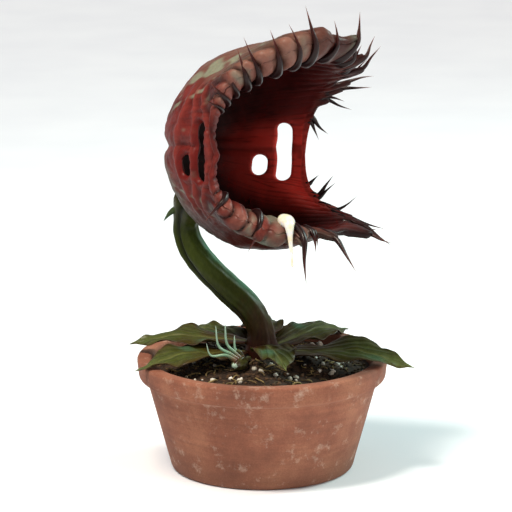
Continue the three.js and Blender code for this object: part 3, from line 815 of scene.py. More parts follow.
def make_young_trap(young_skin):
    """A small trap, its lobes pressed together along a seam, with a comb of tall curved spines."""
    lengthwise = YOUNG_TIP - YOUNG_FOOT
    beside = unit(np.array([-lengthwise[1], lengthwise[0], 0]))
    bm = ruled_sheet(*YOUNG_MESH)
    turn, share = kept(bm, "across") * TAU, kept(bm, "along")
    swell = 0.35 + 0.65 * smooth(share, 0.15, 0.6)
    tail = np.sqrt(np.clip(1 - (np.maximum(0, share - 0.6) / 0.4) ** 2, 0, 1))
    from_seam = turn - math.pi / 2
    seam = np.exp(-((from_seam / 0.17) ** 2))
    lobes = 1 - 0.33 * seam + 0.10 * np.exp(-(((np.abs(from_seam) - 0.42) / 0.2) ** 2))
    size = swell * tail * lobes * (share > 1e-6) * (1 + 0.03 * np.cos(6 * turn + 9 * share))
    places = YOUNG_FOOT + lengthwise * share[:, None]
    places += beside * (YOUNG_HALF_WIDTH * size * np.cos(turn))[:, None]
    places[:, 2] += YOUNG_HALF_HEIGHT * size * np.sin(turn)
    lay(bm, places)
    close_up(bm, 0.001)
    from_seam = kept(bm, "across") * TAU - math.pi / 2
    rim = np.exp(-((from_seam / 0.34) ** 2)) * smooth(kept(bm, "along"), 0.1, 0.4)

    for index in range(YOUNG_SPINES):
        step = index / (YOUNG_SPINES - 1)
        start = YOUNG_FOOT + lengthwise * (0.42 + 0.42 * step)
        out = unit(np.array([-1, -0.1 * step, 0]))
        far = 9 * (0.3 + 0.75 * step)
        high = 13.5 * math.sin(math.pi * (0.22 + 0.6 * step))
        top = YOUNG_HALF_HEIGHT
        bends = [(0, 0.5 * top), (0.35, top + 1.1), (0.85, 0.45 * high), (1, high)]
        path = curve_through([start + out * far * away + np.array([0, 0, up]) for away, up in bends], 40)
        share = np.linspace(0, 1, len(path))
        radii = 0.62 * (1 - share) ** 0.6 + 0.35 * np.exp(-share * 10)
        add_stem(bm, path, radii, SPINE_SIDES, np.array([out[1], -out[0], 0]))
    spines = len(bm.verts) - len(rim)
    return finished(
        "folded_young_trap", bm, young_skin, ["young_trap"],
        {
            "pale": np.concatenate([np.zeros(len(rim)), np.ones(spines)]),
            "rim": np.concatenate([rim, np.zeros(spines)]),
            "tip": kept(bm, "along"),
        },
    )


# ---- Pot and potting mix ----


def spun(profile, steps):
    """Turns a profile of (radius, height) once round the upright axis."""
    bm = bmesh.new()
    verts = [bm.verts.new((radius, 0, height)) for radius, height in profile]
    edges = [bm.edges.new(pair) for pair in zip(verts, verts[1:])]
    bmesh.ops.spin(
        bm, geom=verts + edges, cent=(0, 0, 0), axis=(0, 0, 1), angle=TAU, steps=steps, use_merge=True,
    )
    return bm


def rounded(corners, radius, steps=5):
    """Replaces each inner corner of a profile by an arc-like curve."""
    corners = [np.array(corner, float) for corner in corners]
    profile = [tuple(corners[0])]
    for before, corner, after in zip(corners, corners[1:], corners[2:]):
        cut = min(radius, 0.45 * np.linalg.norm(before - corner), 0.45 * np.linalg.norm(after - corner))
        start, end = corner + unit(before - corner) * cut, corner + unit(after - corner) * cut
        for share in np.linspace(0, 1, steps):
            profile.append(tuple(lerp(lerp(start, corner, share), lerp(corner, end, share), share)))
    return [*profile, tuple(corners[-1])]


def pot_inside(height):
    """The inner radius at a height."""
    low, high = POT_FOOT_RADIUS - POT_WALL, POT_INSIDE
    return lerp(low, high, (height - POT_FLOOR) / (POT_HEIGHT - 1 - POT_FLOOR))


def make_pot(clay):
    """A thrown pot with a thick rim. Its wall is spun, and its foot then filled in round the drain holes."""
    shoulder = POT_HEIGHT - RIM_BAND
    opening = DRAIN_CIRCLE + DRAIN_RADIUS + 3
    corners = [
        (opening, 0),
        (POT_FOOT_RADIUS, 0),
        (POT_RADIUS - RIM_STEP - 1.2, shoulder),
        (POT_RADIUS - 0.7, shoulder + 0.6),
        (POT_RADIUS, POT_HEIGHT),
        (POT_INSIDE, POT_HEIGHT),
        (pot_inside(POT_FLOOR), POT_FLOOR),
        (opening, POT_FLOOR),
    ]
    bm = spun(rounded(corners, 1.3), POT_STEPS)
    turns = [TAU * (index + 0.5) / DRAINS for index in range(DRAINS)]
    drains = [Vector((DRAIN_CIRCLE * math.cos(turn), DRAIN_CIRCLE * math.sin(turn), 0)) for turn in turns]
    for height in (0, POT_FLOOR):
        loop = [edge for edge in bm.edges if edge.is_boundary and abs(edge.verts[0].co.z - height) < 0.01]
        for middle in drains:
            hole = bmesh.ops.create_circle(bm, segments=28, radius=DRAIN_RADIUS)["verts"]
            bmesh.ops.translate(bm, vec=(middle.x, middle.y, height), verts=hole)
            loop += list({edge for vert in hole for edge in vert.link_edges})
        bmesh.ops.triangle_fill(bm, use_beauty=True, edges=loop)
    rims = [edge for edge in bm.edges if edge.is_boundary]
    for middle in drains:
        pair = [edge for edge in rims if (edge.verts[0].co - middle).to_2d().length < DRAIN_RADIUS + 0.1]
        bmesh.ops.bridge_loops(bm, edges=pair)
    turn_outwards(bm)
    return finished("clay_pot", bm, clay, ["pot"])


def soil_top(places):
    """The height of the potting mix at points (x, y)."""
    from_stalk = np.linalg.norm(places[:, :2], axis=1)
    reach = np.clip(from_stalk / (pot_inside(SOIL_EDGE) - SOIL_GAP), 0, 1)
    flat = np.column_stack([places[:, :2], np.zeros(len(places))])
    crumbs = 0.5 * rough(flat, 5, 30) + 0.35 * rough(flat, 1.8, 31) + 0.2 * rough(flat, 0.8, 32)
    crumbs *= smooth(from_stalk, CROWN_RADIUS, CROWN_RADIUS + 3) * (1 - 0.4 * reach)
    return SOIL_EDGE + SOIL_MOUND * np.cos(reach * math.pi / 2) ** 2 + crumbs


def make_soil(mix):
    """The potting mix that fills the pot. The sheet runs over its top, down its side and under it."""
    top_end, side_end = 0.78, 0.97
    floor = POT_FLOOR + SOIL_GAP
    edge, foot = pot_inside(SOIL_EDGE) - SOIL_GAP, pot_inside(floor) - SOIL_GAP
    bm = ruled_sheet(*SOIL_MESH)
    turn, along = kept(bm, "across") * TAU, kept(bm, "along")
    reach = np.interp(along, [0, top_end, side_end, 1], [0, edge, foot, 0])
    places = np.stack([reach * np.cos(turn), reach * np.sin(turn), np.zeros(len(turn))], axis=1)
    places[:, 2] = lerp(soil_top(places), floor, np.interp(along, [top_end, side_end], [0, 1]))
    lay(bm, places)
    close_up(bm)
    return finished("potting_mix", bm, mix, ["soil"])


def scatter_bits(name, material, count, seed, sizes, flatness, lifted):
    """Small loose bits on the potting mix, each a rough lump. lifted is a share of a bit's size."""
    draw = np.random.default_rng(seed)
    edge = pot_inside(SOIL_EDGE) - 1.5
    reach = np.sqrt(draw.uniform((CROWN_RADIUS + 1.5) ** 2, edge**2, count))
    turn = draw.uniform(0, TAU, count)
    spots = np.stack([reach * np.cos(turn), reach * np.sin(turn)], axis=1)
    heights = soil_top(spots)
    bm = bmesh.new()
    tints = []
    for spot, height in zip(spots, heights):
        size = draw.uniform(*sizes)
        lump = bmesh.ops.create_icosphere(bm, subdivisions=1, radius=size)["verts"]
        for vert in lump:
            vert.co *= draw.uniform(0.7, 1.15)
        bmesh.ops.scale(bm, vec=(draw.uniform(0.8, 1.3), 1, draw.uniform(*flatness)), verts=lump)
        turned = Euler(draw.uniform(-0.6, 0.6, 2).tolist() + [draw.uniform(0, TAU)]).to_matrix()
        bmesh.ops.rotate(bm, cent=(0, 0, 0), matrix=turned, verts=lump)
        bmesh.ops.translate(bm, vec=(*spot, height + size * lifted), verts=lump)
        tints += [draw.uniform(0, 1)] * len(lump)
    return finished(name, bm, material, (), {"tint": tints})


def scatter_fibres(name, material, count, seed):
    """Short bits of root and moss stem that lie on the potting mix."""
    draw = np.random.default_rng(seed)
    bm = bmesh.new()
    tints = []
    for _ in range(count):
        reach = math.sqrt(draw.uniform((CROWN_RADIUS + 2) ** 2, (pot_inside(SOIL_EDGE) - 4) ** 2))
        turn, heading = draw.uniform(0, TAU, 2)
        length, bend = draw.uniform(2.5, 6), draw.uniform(-1.2, 1.2)
        share = np.linspace(-0.5, 0.5, 7)
        angle = heading + bend * share
        spots = np.stack([
            reach * math.cos(turn) + length * share * np.cos(angle),
            reach * math.sin(turn) + length * share * np.sin(angle),
        ], axis=1)
        lift = 0.15 + draw.uniform(0, 0.9) * (1 - 4 * share**2)
        path = np.column_stack([spots, soil_top(spots) + lift])
        radii = np.full(len(path), draw.uniform(0.12, 0.28))
        before = len(bm.verts)
        add_stem(bm, path, radii, 5, (0, 0, 1))
        tints += [draw.uniform(0, 1)] * (len(bm.verts) - before)
    return finished(name, bm, material, (), {"tint": tints})


# ---- Finishes ----


def linear(colour):
    """An sRGB hex colour as linear red, green, blue and 1."""
    channels = [int(colour[i : i + 2], 16) / 255 for i in (1, 3, 5)]
    return (*[c / 12.92 if c <= 0.04045 else ((c + 0.055) / 1.055) ** 2.4 for c in channels], 1)


def add(material, kind, inputs=None, out=0, stops=(), **settings):
    """Adds a node with its settings, fills its inputs with values or links, and returns one of its outputs.

    stops are a colour ramp's first and last stop, and then those between.
    """
    tree = material.node_tree
    node = tree.nodes.new(kind)
    for setting, value in settings.items():
        setattr(node, setting, value)
    for socket, value in (inputs or {}).items():
        if isinstance(value, bpy.types.NodeSocket):
            tree.links.new(value, node.inputs[socket])
        else:
            node.inputs[socket].default_value = linear(value) if isinstance(value, str) else value
    for place, (position, colour) in enumerate(stops):
        ramp = node.color_ramp.elements
        stop = ramp[place] if place < 2 else ramp.new(position)
        stop.position, stop.color = position, linear(colour)
    return node.outputs[out]


def started(name, **sockets):
    """A material whose shader has these even values, and the shader."""
    material = bpy.data.materials.new(name)
    material.use_nodes = True
    shader = material.node_tree.nodes["Principled BSDF"]
    for socket, value in sockets.items():
        shader.inputs[socket.replace("_", " ")].default_value = value
    return material, shader


def fill(material, shader, **sockets):
    """Links these outputs into the shader's inputs."""
    for socket, value in sockets.items():
        material.node_tree.links.new(value, shader.inputs[socket.replace("_", " ")])


def laid_over(m, under, over, where, most):
    """One colour over another where an attribute is high, and at most this strongly."""
    share = add(m, "ShaderNodeMath", {0: where, 1: most}, operation="MULTIPLY")
    return add(m, "ShaderNodeMix", {0: share, 6: under, 7: over}, out=2, data_type="RGBA")


def shaded_by(m, colour, pattern, dark, light):
    """A colour that a noise pattern makes darker and lighter, between these two factors."""
    factor = add(m, "ShaderNodeMapRange", {0: pattern, 1: 0.3, 2: 0.7, 3: dark, 4: light})
    return add(
        m, "ShaderNodeMix", {0: 1.0, 6: colour, 7: factor}, out=2, data_type="RGBA", blend_type="MULTIPLY",
    )


# The lining's colour by depth: dark red pigment, turned near-black towards the throat as painted shade.
LINING_STOPS_WITH_PAINTED_SHADE = [(0.10, "#0d0201"), (1.0, "#3c0f0d"), (0.36, "#1c0403"), (0.58, "#310706"), (0.76, "#3f0c0a")]


def lining_colour(m, depth):
    """Dark red towards the lips and near-black in the throat as painted shade, with a painted glow where the
    thin far cheek would be lit through.
    """
    with_painted_shade = add(m, "ShaderNodeValToRGB", {0: depth}, stops=LINING_STOPS_WITH_PAINTED_SHADE)
    painted_glow = add(m, "ShaderNodeAttribute", attribute_name="painted_glow", out="Fac")
    return add(m, "ShaderNodeMix", {0: painted_glow, 6: with_painted_shade, 7: "#c43a30"}, out=2, data_type="RGBA")


def trap_lining():
    """The trap's inner tissue, thick with red pigment: matt, redder towards the lips, and near-black in the
    throat as painted shade.
    """
    m, shader = started(
        "trap_lining_pigment_and_painted_shade", IOR=1.36, Specular_IOR_Level=0.18, Subsurface_Weight=0.2,
        Subsurface_Radius=(0.005, 0.0006, 0.0004), Subsurface_Scale=1.0,
    )
    here = add(m, "ShaderNodeTexCoord", out="Object")
    depth = add(m, "ShaderNodeAttribute", attribute_name="depth", out="Fac")
    vein = add(m, "ShaderNodeAttribute", attribute_name="vein", out="Fac")
    fine = add(
        m, "ShaderNodeTexNoise", {"Vector": here, "Scale": 1 / (1.3 * MM), "Detail": 4, "Roughness": 0.65}
    )
    cloud = add(m, "ShaderNodeTexNoise", {"Vector": here, "Scale": 1 / (8 * MM), "Detail": 3})
    wandering = add(m, "ShaderNodeMapRange", {0: cloud, 1: 0.3, 2: 0.7, 3: -0.08, 4: 0.08})
    reached = add(m, "ShaderNodeMath", {0: depth, 1: wandering}, operation="ADD")
    lining = lining_colour(m, reached)
    folded = laid_over(m, lining, "#0d0101", vein, 0.5)
    gloss = add(m, "ShaderNodeMapRange", {0: fine, 1: 0.3, 2: 0.75, 3: 0.5, 4: 0.7})
    raised = add(m, "ShaderNodeBump", {"Strength": 0.5, "Distance": 0.25 * MM, "Height": fine})
    fill(m, shader, Base_Color=folded, Roughness=gloss, Normal=raised)
    return m


def trap_flesh():
    """Living leaf tissue under thin wax: red-brown, with painted shade in the lips' creases and a painted
    highlight on their pleats.
    """
    m, shader = started(
        "trap_leaf_tissue_waxy", IOR=1.42, Coat_Weight=0.06, Coat_Roughness=0.24, Subsurface_Weight=0.05,
        Subsurface_Radius=(0.003, 0.0008, 0.0005), Subsurface_Scale=1.0, Specular_IOR_Level=0.12,
    )
    here = add(m, "ShaderNodeTexCoord", out="Object")
    held = {
        key: add(m, "ShaderNodeAttribute", attribute_name=key, out="Fac")
        for key in (
            "inside", "margin", "crest", "hole", "pale", "depth", "vein", "high", "stem", "point", "roll",
            "far", "low", "cord", "lip", "painted_glow", "sage_and_painted_highlight",
        )
    }
    mottle = add(
        m, "ShaderNodeTexNoise", {"Vector": here, "Scale": 1 / (7 * MM), "Detail": 5, "Roughness": 0.6}
    )
    fine = add(
        m, "ShaderNodeTexNoise", {"Vector": here, "Scale": 1 / (1.3 * MM), "Detail": 4, "Roughness": 0.65}
    )

    # The outside, from the lobe's back to the lips.
    back = add(
        m, "ShaderNodeValToRGB", {0: mottle},
        stops=[(0.30, "#42100d"), (0.70, "#702a24"), (0.46, "#591c18"), (0.58, "#66221e")],
    )
    grey = add(m, "ShaderNodeMix", {0: held["high"], 6: back, 7: "#6b5046"}, out=2, data_type="RGBA")
    stem = add(m, "ShaderNodeMix", {0: held["stem"], 6: grey, 7: "#4d4426"}, out=2, data_type="RGBA")
    veined = laid_over(m, stem, "#4a120f", held["vein"], 0.55)
    # Across the lip: near-black at its root by the mouth and pinkish brown at its outer edge, partly the
    # lip's own colour and partly painted shade towards the mouth.
    drift = add(m, "ShaderNodeMapRange", {0: mottle, 1: 0.3, 2: 0.7, 3: -0.35, 4: 0.3})
    across_lip = add(m, "ShaderNodeMath", {0: held["roll"], 1: drift}, operation="ADD")
    lip = add(
        m, "ShaderNodeValToRGB", {0: across_lip},
        stops=[(0.0, "#220605"), (1.0, "#70423a"), (0.3, "#3d100d"), (0.6, "#57221d"), (0.85, "#68342d")],
    )
    # Greyer towards the top of the trap.
    greyed_on_top = laid_over(m, lip, "#7e6a5c", held["high"], 0.4)
    cheek = add(m, "ShaderNodeMix", {0: held["lip"], 6: "#5a1c18", 7: greyed_on_top}, out=2, data_type="RGBA")
    # Painted shade and highlight: near-black in the creases between the pleats, a little paler on their tops.
    crease = add(m, "ShaderNodeMapRange", {0: held["crest"], 1: 0.25, 2: 0.93, 3: 0.06, 4: 1.1})
    rim = add(
        m, "ShaderNodeMix", {0: 1.0, 6: cheek, 7: crease}, out=2, data_type="RGBA", blend_type="MULTIPLY"
    )
    banded = add(m, "ShaderNodeMix", {0: held["margin"], 6: veined, 7: rim}, out=2, data_type="RGBA")
    streaked = laid_over(m, banded, "#7f8a76", held["pale"], 0.7)
    corded = laid_over(m, streaked, "#803630", held["cord"], 0.6)
    welted = add(m, "ShaderNodeMix", {0: held["hole"], 6: corded, 7: "#5e1714"}, out=2, data_type="RGBA")
    # Painted shade: darker and redder towards the trap's underside where the low share is high, a little less
    # on the lips.
    shade = add(m, "ShaderNodeMix", {0: held["margin"], 6: "#8c5c54", 7: "#b18782"}, out=2, data_type="RGBA")
    with_painted_shade = add(
        m, "ShaderNodeMix", {0: held["low"], 6: welted, 7: shade}, out=2, data_type="RGBA",
        blend_type="MULTIPLY",
    )

    # The inside, as far as the lips are part of it, and the far lip and what lies on both.
    lining = lining_colour(m, held["depth"])
    lip_share = add(m, "ShaderNodeMapRange", {0: held["depth"], 1: 0.77, 2: 0.87, 3: 0.0, 4: 1.0})
    lipped = add(m, "ShaderNodeMix", {0: lip_share, 6: lining, 7: rim}, out=2, data_type="RGBA")
    either = add(m, "ShaderNodeMix", {0: held["inside"], 6: with_painted_shade, 7: lipped}, out=2, data_type="RGBA")
    # Painted glow: the far lip goes from dark red to bright red where the far cheek would be lit through.
    far_tone = add(m, "ShaderNodeMix", {0: held["painted_glow"], 6: "#350d0b", 7: "#b0342b"}, out=2, data_type="RGBA")
    both = laid_over(m, either, far_tone, held["far"], 0.85)
    darkened = add(m, "ShaderNodeMix", {0: held["point"], 6: both, 7: "#1a0606"}, out=2, data_type="RGBA")
    # A sage-grey tint and painted highlight beside the nectar and on the near lip's pleat tops.
    sage_and_highlit = laid_over(m, darkened, "#6f7b6d", held["sage_and_painted_highlight"], 0.55)
    shaded = shaded_by(m, sage_and_highlit, fine, 0.82, 1.12)
    gloss = add(m, "ShaderNodeMapRange", {0: fine, 1: 0.3, 2: 0.75, 3: 0.40, 4: 0.62})
    pores = add(m, "ShaderNodeTexVoronoi", {"Vector": here, "Scale": 1 / (0.9 * MM)}, out="Distance")
    low = add(m, "ShaderNodeBump", {"Strength": 0.5, "Distance": 0.25 * MM, "Height": fine})
    grain = add(
        m, "ShaderNodeBump", {"Strength": 0.35, "Distance": 0.12 * MM, "Height": pores, "Normal": low}
    )
    fill(m, shader, Base_Color=shaded, Roughness=gloss, Normal=grain)
    return m


def spine_skin():
    """Hard bristle tissue, drawn out as it grew: near-black and glossy, red-brown at its root and its tip."""
    m, shader = started(
        "bristle_tissue_hard", IOR=1.5, Coat_Weight=0.08, Coat_Roughness=0.15, Specular_IOR_Level=0.2,
    )
    here = add(m, "ShaderNodeTexCoord", out="Object")
    tip = add(m, "ShaderNodeAttribute", attribute_name="tip", out="Fac")
    colour = add(
        m, "ShaderNodeValToRGB", {0: tip},
        stops=[(0.0, "#3a1412"), (1.0, "#6e3a2e"), (0.16, "#180506"), (0.55, "#1e0807"), (0.8, "#3c1713")],
    )
    grain = add(m, "ShaderNodeTexNoise", {"Vector": here, "Scale": 1 / (0.8 * MM), "Detail": 3})
    tinted = shaded_by(m, colour, grain, 0.7, 1.3)
    gloss = add(m, "ShaderNodeMapRange", {0: grain, 3: 0.25, 4: 0.5})
    raised = add(m, "ShaderNodeBump", {"Strength": 0.4, "Distance": 0.08 * MM, "Height": grain})
    fill(m, shader, Base_Color=tinted, Roughness=gloss, Normal=raised)
    return m


def stalk_skin():
    """A fleshy stem: dark olive, brown at its foot, with a blue-green painted highlight down one side and
    painted shade in its groove.
    """
    m, shader = started(
        "stem_tissue_painted_highlight", IOR=1.42, Coat_Weight=0.05, Coat_Roughness=0.25, Subsurface_Weight=0.05,
        Subsurface_Radius=(0.001, 0.0015, 0.0004), Subsurface_Scale=1.0, Specular_IOR_Level=0.12,
    )
    here = add(m, "ShaderNodeTexCoord", out="Object")
    height = add(m, "ShaderNodeAttribute", attribute_name="height", out="Fac")
    painted_highlight = add(m, "ShaderNodeAttribute", attribute_name="painted_highlight", out="Fac")
    groove = add(m, "ShaderNodeAttribute", attribute_name="groove", out="Fac")
    stretched = add(m, "ShaderNodeMapping", {"Vector": here, "Scale": (1, 1, 0.35)})
    mottle = add(
        m, "ShaderNodeTexNoise", {"Vector": stretched, "Scale": 1 / (3 * MM), "Detail": 5, "Roughness": 0.6}
    )
    fine = add(m, "ShaderNodeTexNoise", {"Vector": stretched, "Scale": 1 / (0.7 * MM), "Detail": 3})
    wandering = add(m, "ShaderNodeMapRange", {0: mottle, 3: -0.10, 4: 0.10, 1: 0.3, 2: 0.7})
    upward = add(m, "ShaderNodeMath", {0: height, 1: wandering}, operation="ADD")
    green = add(
        m, "ShaderNodeValToRGB", {0: upward},
        stops=[
            (0.05, "#2a1006"), (1.0, "#3a3212"), (0.20, "#33230c"), (0.36, "#2f3410"), (0.60, "#333c12"),
            (0.85, "#2a3010"),
        ],
    )
    # Painted highlight: blue-green down one side of the stalk.
    with_painted_sheen = add(m, "ShaderNodeMix", {0: painted_highlight, 6: green, 7: "#47765a"}, out=2, data_type="RGBA")
    # Painted shade: the stalk's groove goes near-black.
    lined = add(m, "ShaderNodeMix", {0: groove, 6: with_painted_sheen, 7: "#0d1200"}, out=2, data_type="RGBA")
    tinted = shaded_by(m, lined, fine, 0.78, 1.15)
    gloss = add(m, "ShaderNodeMapRange", {0: mottle, 1: 0.3, 2: 0.7, 3: 0.36, 4: 0.55})
    raised = add(m, "ShaderNodeBump", {"Strength": 0.5, "Distance": 0.15 * MM, "Height": fine})
    fill(m, shader, Base_Color=tinted, Roughness=gloss, Normal=raised)
    return m


def leaf_skin():
    """Waxy leaf blades: dark olive, brown at the crown and the edge, with veins and a painted blue-green
    sheen.
    """
    m, shader = started(
        "leaf_blade_waxy", IOR=1.42, Coat_Weight=0.08, Coat_Roughness=0.25, Subsurface_Weight=0.04,
        Subsurface_Radius=(0.0008, 0.0015, 0.0003), Subsurface_Scale=1.0, Specular_IOR_Level=0.14,
    )
    here = add(m, "ShaderNodeTexCoord", out="Object")
    held = {
        key: add(m, "ShaderNodeAttribute", attribute_name=key, out="Fac")
        for key in ("along", "edge", "rib", "under", "vein", "painted_sheen")
    }
    mottle = add(
        m, "ShaderNodeTexNoise", {"Vector": here, "Scale": 1 / (5 * MM), "Detail": 5, "Roughness": 0.6}
    )
    fine = add(m, "ShaderNodeTexNoise", {"Vector": here, "Scale": 1 / (0.6 * MM), "Detail": 3})
    wandering = add(m, "ShaderNodeMapRange", {0: mottle, 1: 0.3, 2: 0.7, 3: -0.14, 4: 0.14})
    outward = add(m, "ShaderNodeMath", {0: held["along"], 1: wandering}, operation="ADD")
    green = add(
        m, "ShaderNodeValToRGB", {0: outward},
        stops=[
            (0.0, "#221106"), (1.0, "#545e34"), (0.16, "#33240a"), (0.34, "#3a3510"), (0.55, "#3c4218"),
            (0.78, "#485026"),
        ],
    )
    # Painted sheen: blue-green patches over the blade.
    with_painted_sheen = add(m, "ShaderNodeMix", {0: held["painted_sheen"], 6: green, 7: "#456c50"}, out=2, data_type="RGBA")
    below = add(m, "ShaderNodeMix", {0: held["under"], 6: with_painted_sheen, 7: "#4a4a28"}, out=2, data_type="RGBA")
    ribbed = laid_over(m, below, "#6a6c3c", held["rib"], 0.6)
    edged = laid_over(m, ribbed, "#3b170d", held["edge"], 0.65)
    waves = add(m, "ShaderNodeMath", {0: held["vein"], 1: TAU}, operation="MULTIPLY")
    veins = add(m, "ShaderNodeMath", {0: waves}, operation="SINE")
    sharp = add(m, "ShaderNodeMapRange", {0: veins, 1: 0.55, 2: 1.0, 3: 0.0, 4: 1.0})
    drawn = add(m, "ShaderNodeMapRange", {0: veins, 1: 0.4, 2: 1.0, 3: 1.0, 4: 0.74})
    lined = add(
        m, "ShaderNodeMix", {0: 1.0, 6: edged, 7: drawn}, out=2, data_type="RGBA", blend_type="MULTIPLY"
    )
    tinted = shaded_by(m, lined, fine, 0.8, 1.15)
    gloss = add(m, "ShaderNodeMapRange", {0: mottle, 1: 0.3, 2: 0.7, 3: 0.34, 4: 0.55})
    grain = add(m, "ShaderNodeBump", {"Strength": 0.4, "Distance": 0.1 * MM, "Height": fine})
    raised = add(
        m, "ShaderNodeBump", {"Strength": 0.5, "Distance": 0.15 * MM, "Height": sharp, "Normal": grain}
    )
    fill(m, shader, Base_Color=tinted, Roughness=gloss, Normal=raised)
    return m


def young_skin():
    """Young leaf tissue: olive, with a dark red seam, and pale grey-green spines, brown at their roots."""
    m, shader = started("young_leaf_tissue", IOR=1.42, Coat_Weight=0.3, Coat_Roughness=0.2)
    here = add(m, "ShaderNodeTexCoord", out="Object")
    held = {
        key: add(m, "ShaderNodeAttribute", attribute_name=key, out="Fac") for key in ("pale", "rim", "tip")
    }
    mottle = add(m, "ShaderNodeTexNoise", {"Vector": here, "Scale": 1 / (1.6 * MM), "Detail": 4})
    green = add(m, "ShaderNodeValToRGB", {0: mottle}, stops=[(0.35, "#33280e"), (0.65, "#4c5226")])
    seamed = add(m, "ShaderNodeMix", {0: held["rim"], 6: green, 7: "#45100b"}, out=2, data_type="RGBA")
    spine = add(
        m, "ShaderNodeValToRGB", {0: held["tip"]},
        stops=[(0.0, "#4a1d12"), (1.0, "#a9c4b2"), (0.12, "#5d4a30"), (0.32, "#6e9478"), (0.7, "#86a890")],
    )
    both = add(m, "ShaderNodeMix", {0: held["pale"], 6: seamed, 7: spine}, out=2, data_type="RGBA")
    tinted = shaded_by(m, both, mottle, 0.85, 1.1)
    gloss = add(m, "ShaderNodeMapRange", {0: mottle, 3: 0.3, 4: 0.5})
    raised = add(m, "ShaderNodeBump", {"Strength": 0.4, "Distance": 0.12 * MM, "Height": mottle})
    fill(m, shader, Base_Color=tinted, Roughness=gloss, Normal=raised)
    return m


def nectar():
    """Thick plant nectar, drawn into a thread: milky cream, clear at its rim, with a wet gloss."""
    m, shader = started(
        "plant_nectar_milky", IOR=1.38, Transmission_Weight=0.25, Coat_Weight=1.0, Coat_Roughness=0.03,
        Subsurface_Weight=0.5, Subsurface_Radius=(0.002, 0.0016, 0.001), Subsurface_Scale=1.0,
    )
    here = add(m, "ShaderNodeTexCoord", out="Object")
    cloud = add(m, "ShaderNodeTexNoise", {"Vector": here, "Scale": 1 / (2 * MM), "Detail": 2})
    colour = add(m, "ShaderNodeValToRGB", {0: cloud}, stops=[(0.35, "#fff0d0"), (0.6, "#fffdf6")])
    gloss = add(m, "ShaderNodeMapRange", {0: cloud, 3: 0.05, 4: 0.14})
    fill(m, shader, Base_Color=colour, Roughness=gloss)
    return m


def fired_clay():
    """Unglazed fired clay, thrown on a wheel: matt orange-brown, damp at its foot, with a pale lime
    efflorescence.
    """
    m, shader = started("terracotta_unglazed", IOR=1.5)
    here = add(m, "ShaderNodeTexCoord", out="Object")
    ringed = add(m, "ShaderNodeMapping", {"Vector": here, "Scale": (0.06, 0.06, 1)})
    lines = add(
        m, "ShaderNodeTexNoise", {"Vector": ringed, "Scale": 1 / (1.1 * MM), "Detail": 4, "Roughness": 0.6}
    )
    cloud = add(
        m, "ShaderNodeTexNoise", {"Vector": here, "Scale": 1 / (16 * MM), "Detail": 6, "Roughness": 0.65}
    )
    grit = add(
        m, "ShaderNodeTexNoise", {"Vector": here, "Scale": 1 / (0.5 * MM), "Detail": 3, "Roughness": 0.7}
    )
    pits = add(m, "ShaderNodeTexVoronoi", {"Vector": here, "Scale": 1 / (2.2 * MM)}, out="Distance")
    base = add(
        m, "ShaderNodeValToRGB", {0: cloud},
        stops=[(0.30, "#6d3f2d"), (0.70, "#9a654c"), (0.50, "#85503b")],
    )
    thrown = shaded_by(m, base, lines, 0.88, 1.08)
    height = add(m, "ShaderNodeSeparateXYZ", {0: here}, out="Z")
    damp_place = add(m, "ShaderNodeMapRange", {0: height, 1: 0.0, 2: 17 * MM, 3: 0.62, 4: 0.0})
    damp_share = add(m, "ShaderNodeMath", {0: damp_place, 1: cloud}, operation="MULTIPLY")
    damp = add(m, "ShaderNodeMix", {0: damp_share, 6: thrown, 7: "#5a4632"}, out=2, data_type="RGBA")
    lime_noise = add(
        m, "ShaderNodeTexNoise", {"Vector": here, "Scale": 1 / (6 * MM), "Detail": 8, "Roughness": 0.75}
    )
    lime_share = add(m, "ShaderNodeMapRange", {0: lime_noise, 1: 0.55, 2: 0.72, 3: 0.0, 4: 0.55})
    limed = add(m, "ShaderNodeMix", {0: lime_share, 6: damp, 7: "#cdb9a6"}, out=2, data_type="RGBA")
    tinted = shaded_by(m, limed, grit, 0.86, 1.1)
    gloss = add(m, "ShaderNodeMapRange", {0: cloud, 3: 0.78, 4: 0.95})
    grooves = add(m, "ShaderNodeBump", {"Strength": 0.6, "Distance": 0.2 * MM, "Height": lines})
    holes = add(m, "ShaderNodeMapRange", {0: pits, 1: 0.0, 2: 0.12, 3: 0.0, 4: 1.0})
    pitted = add(
        m, "ShaderNodeBump", {"Strength": 0.5, "Distance": 0.2 * MM, "Height": holes, "Normal": grooves}
    )
    rough_clay = add(
        m, "ShaderNodeBump", {"Strength": 0.5, "Distance": 0.08 * MM, "Height": grit, "Normal": pitted}
    )
    fill(m, shader, Base_Color=tinted, Roughness=gloss, Normal=rough_clay)
    return m


def peat():
    """Damp peat, crumbled by hand: near-black brown, matt, with lighter fibres."""
    m, shader = started("peat_damp", IOR=1.4)
    here = add(m, "ShaderNodeTexCoord", out="Object")
    lumps = add(
        m, "ShaderNodeTexNoise", {"Vector": here, "Scale": 1 / (1.6 * MM), "Detail": 8, "Roughness": 0.75}
    )
    colour = add(
        m, "ShaderNodeValToRGB", {0: lumps},
        stops=[(0.32, "#120b06"), (0.70, "#5a4028"), (0.50, "#2b1d12")],
    )
    gloss = add(m, "ShaderNodeMapRange", {0: lumps, 3: 0.7, 4: 0.98})
    raised = add(m, "ShaderNodeBump", {"Strength": 0.9, "Distance": 0.5 * MM, "Height": lumps})
    fill(m, shader, Base_Color=colour, Roughness=gloss, Normal=raised)
    return m


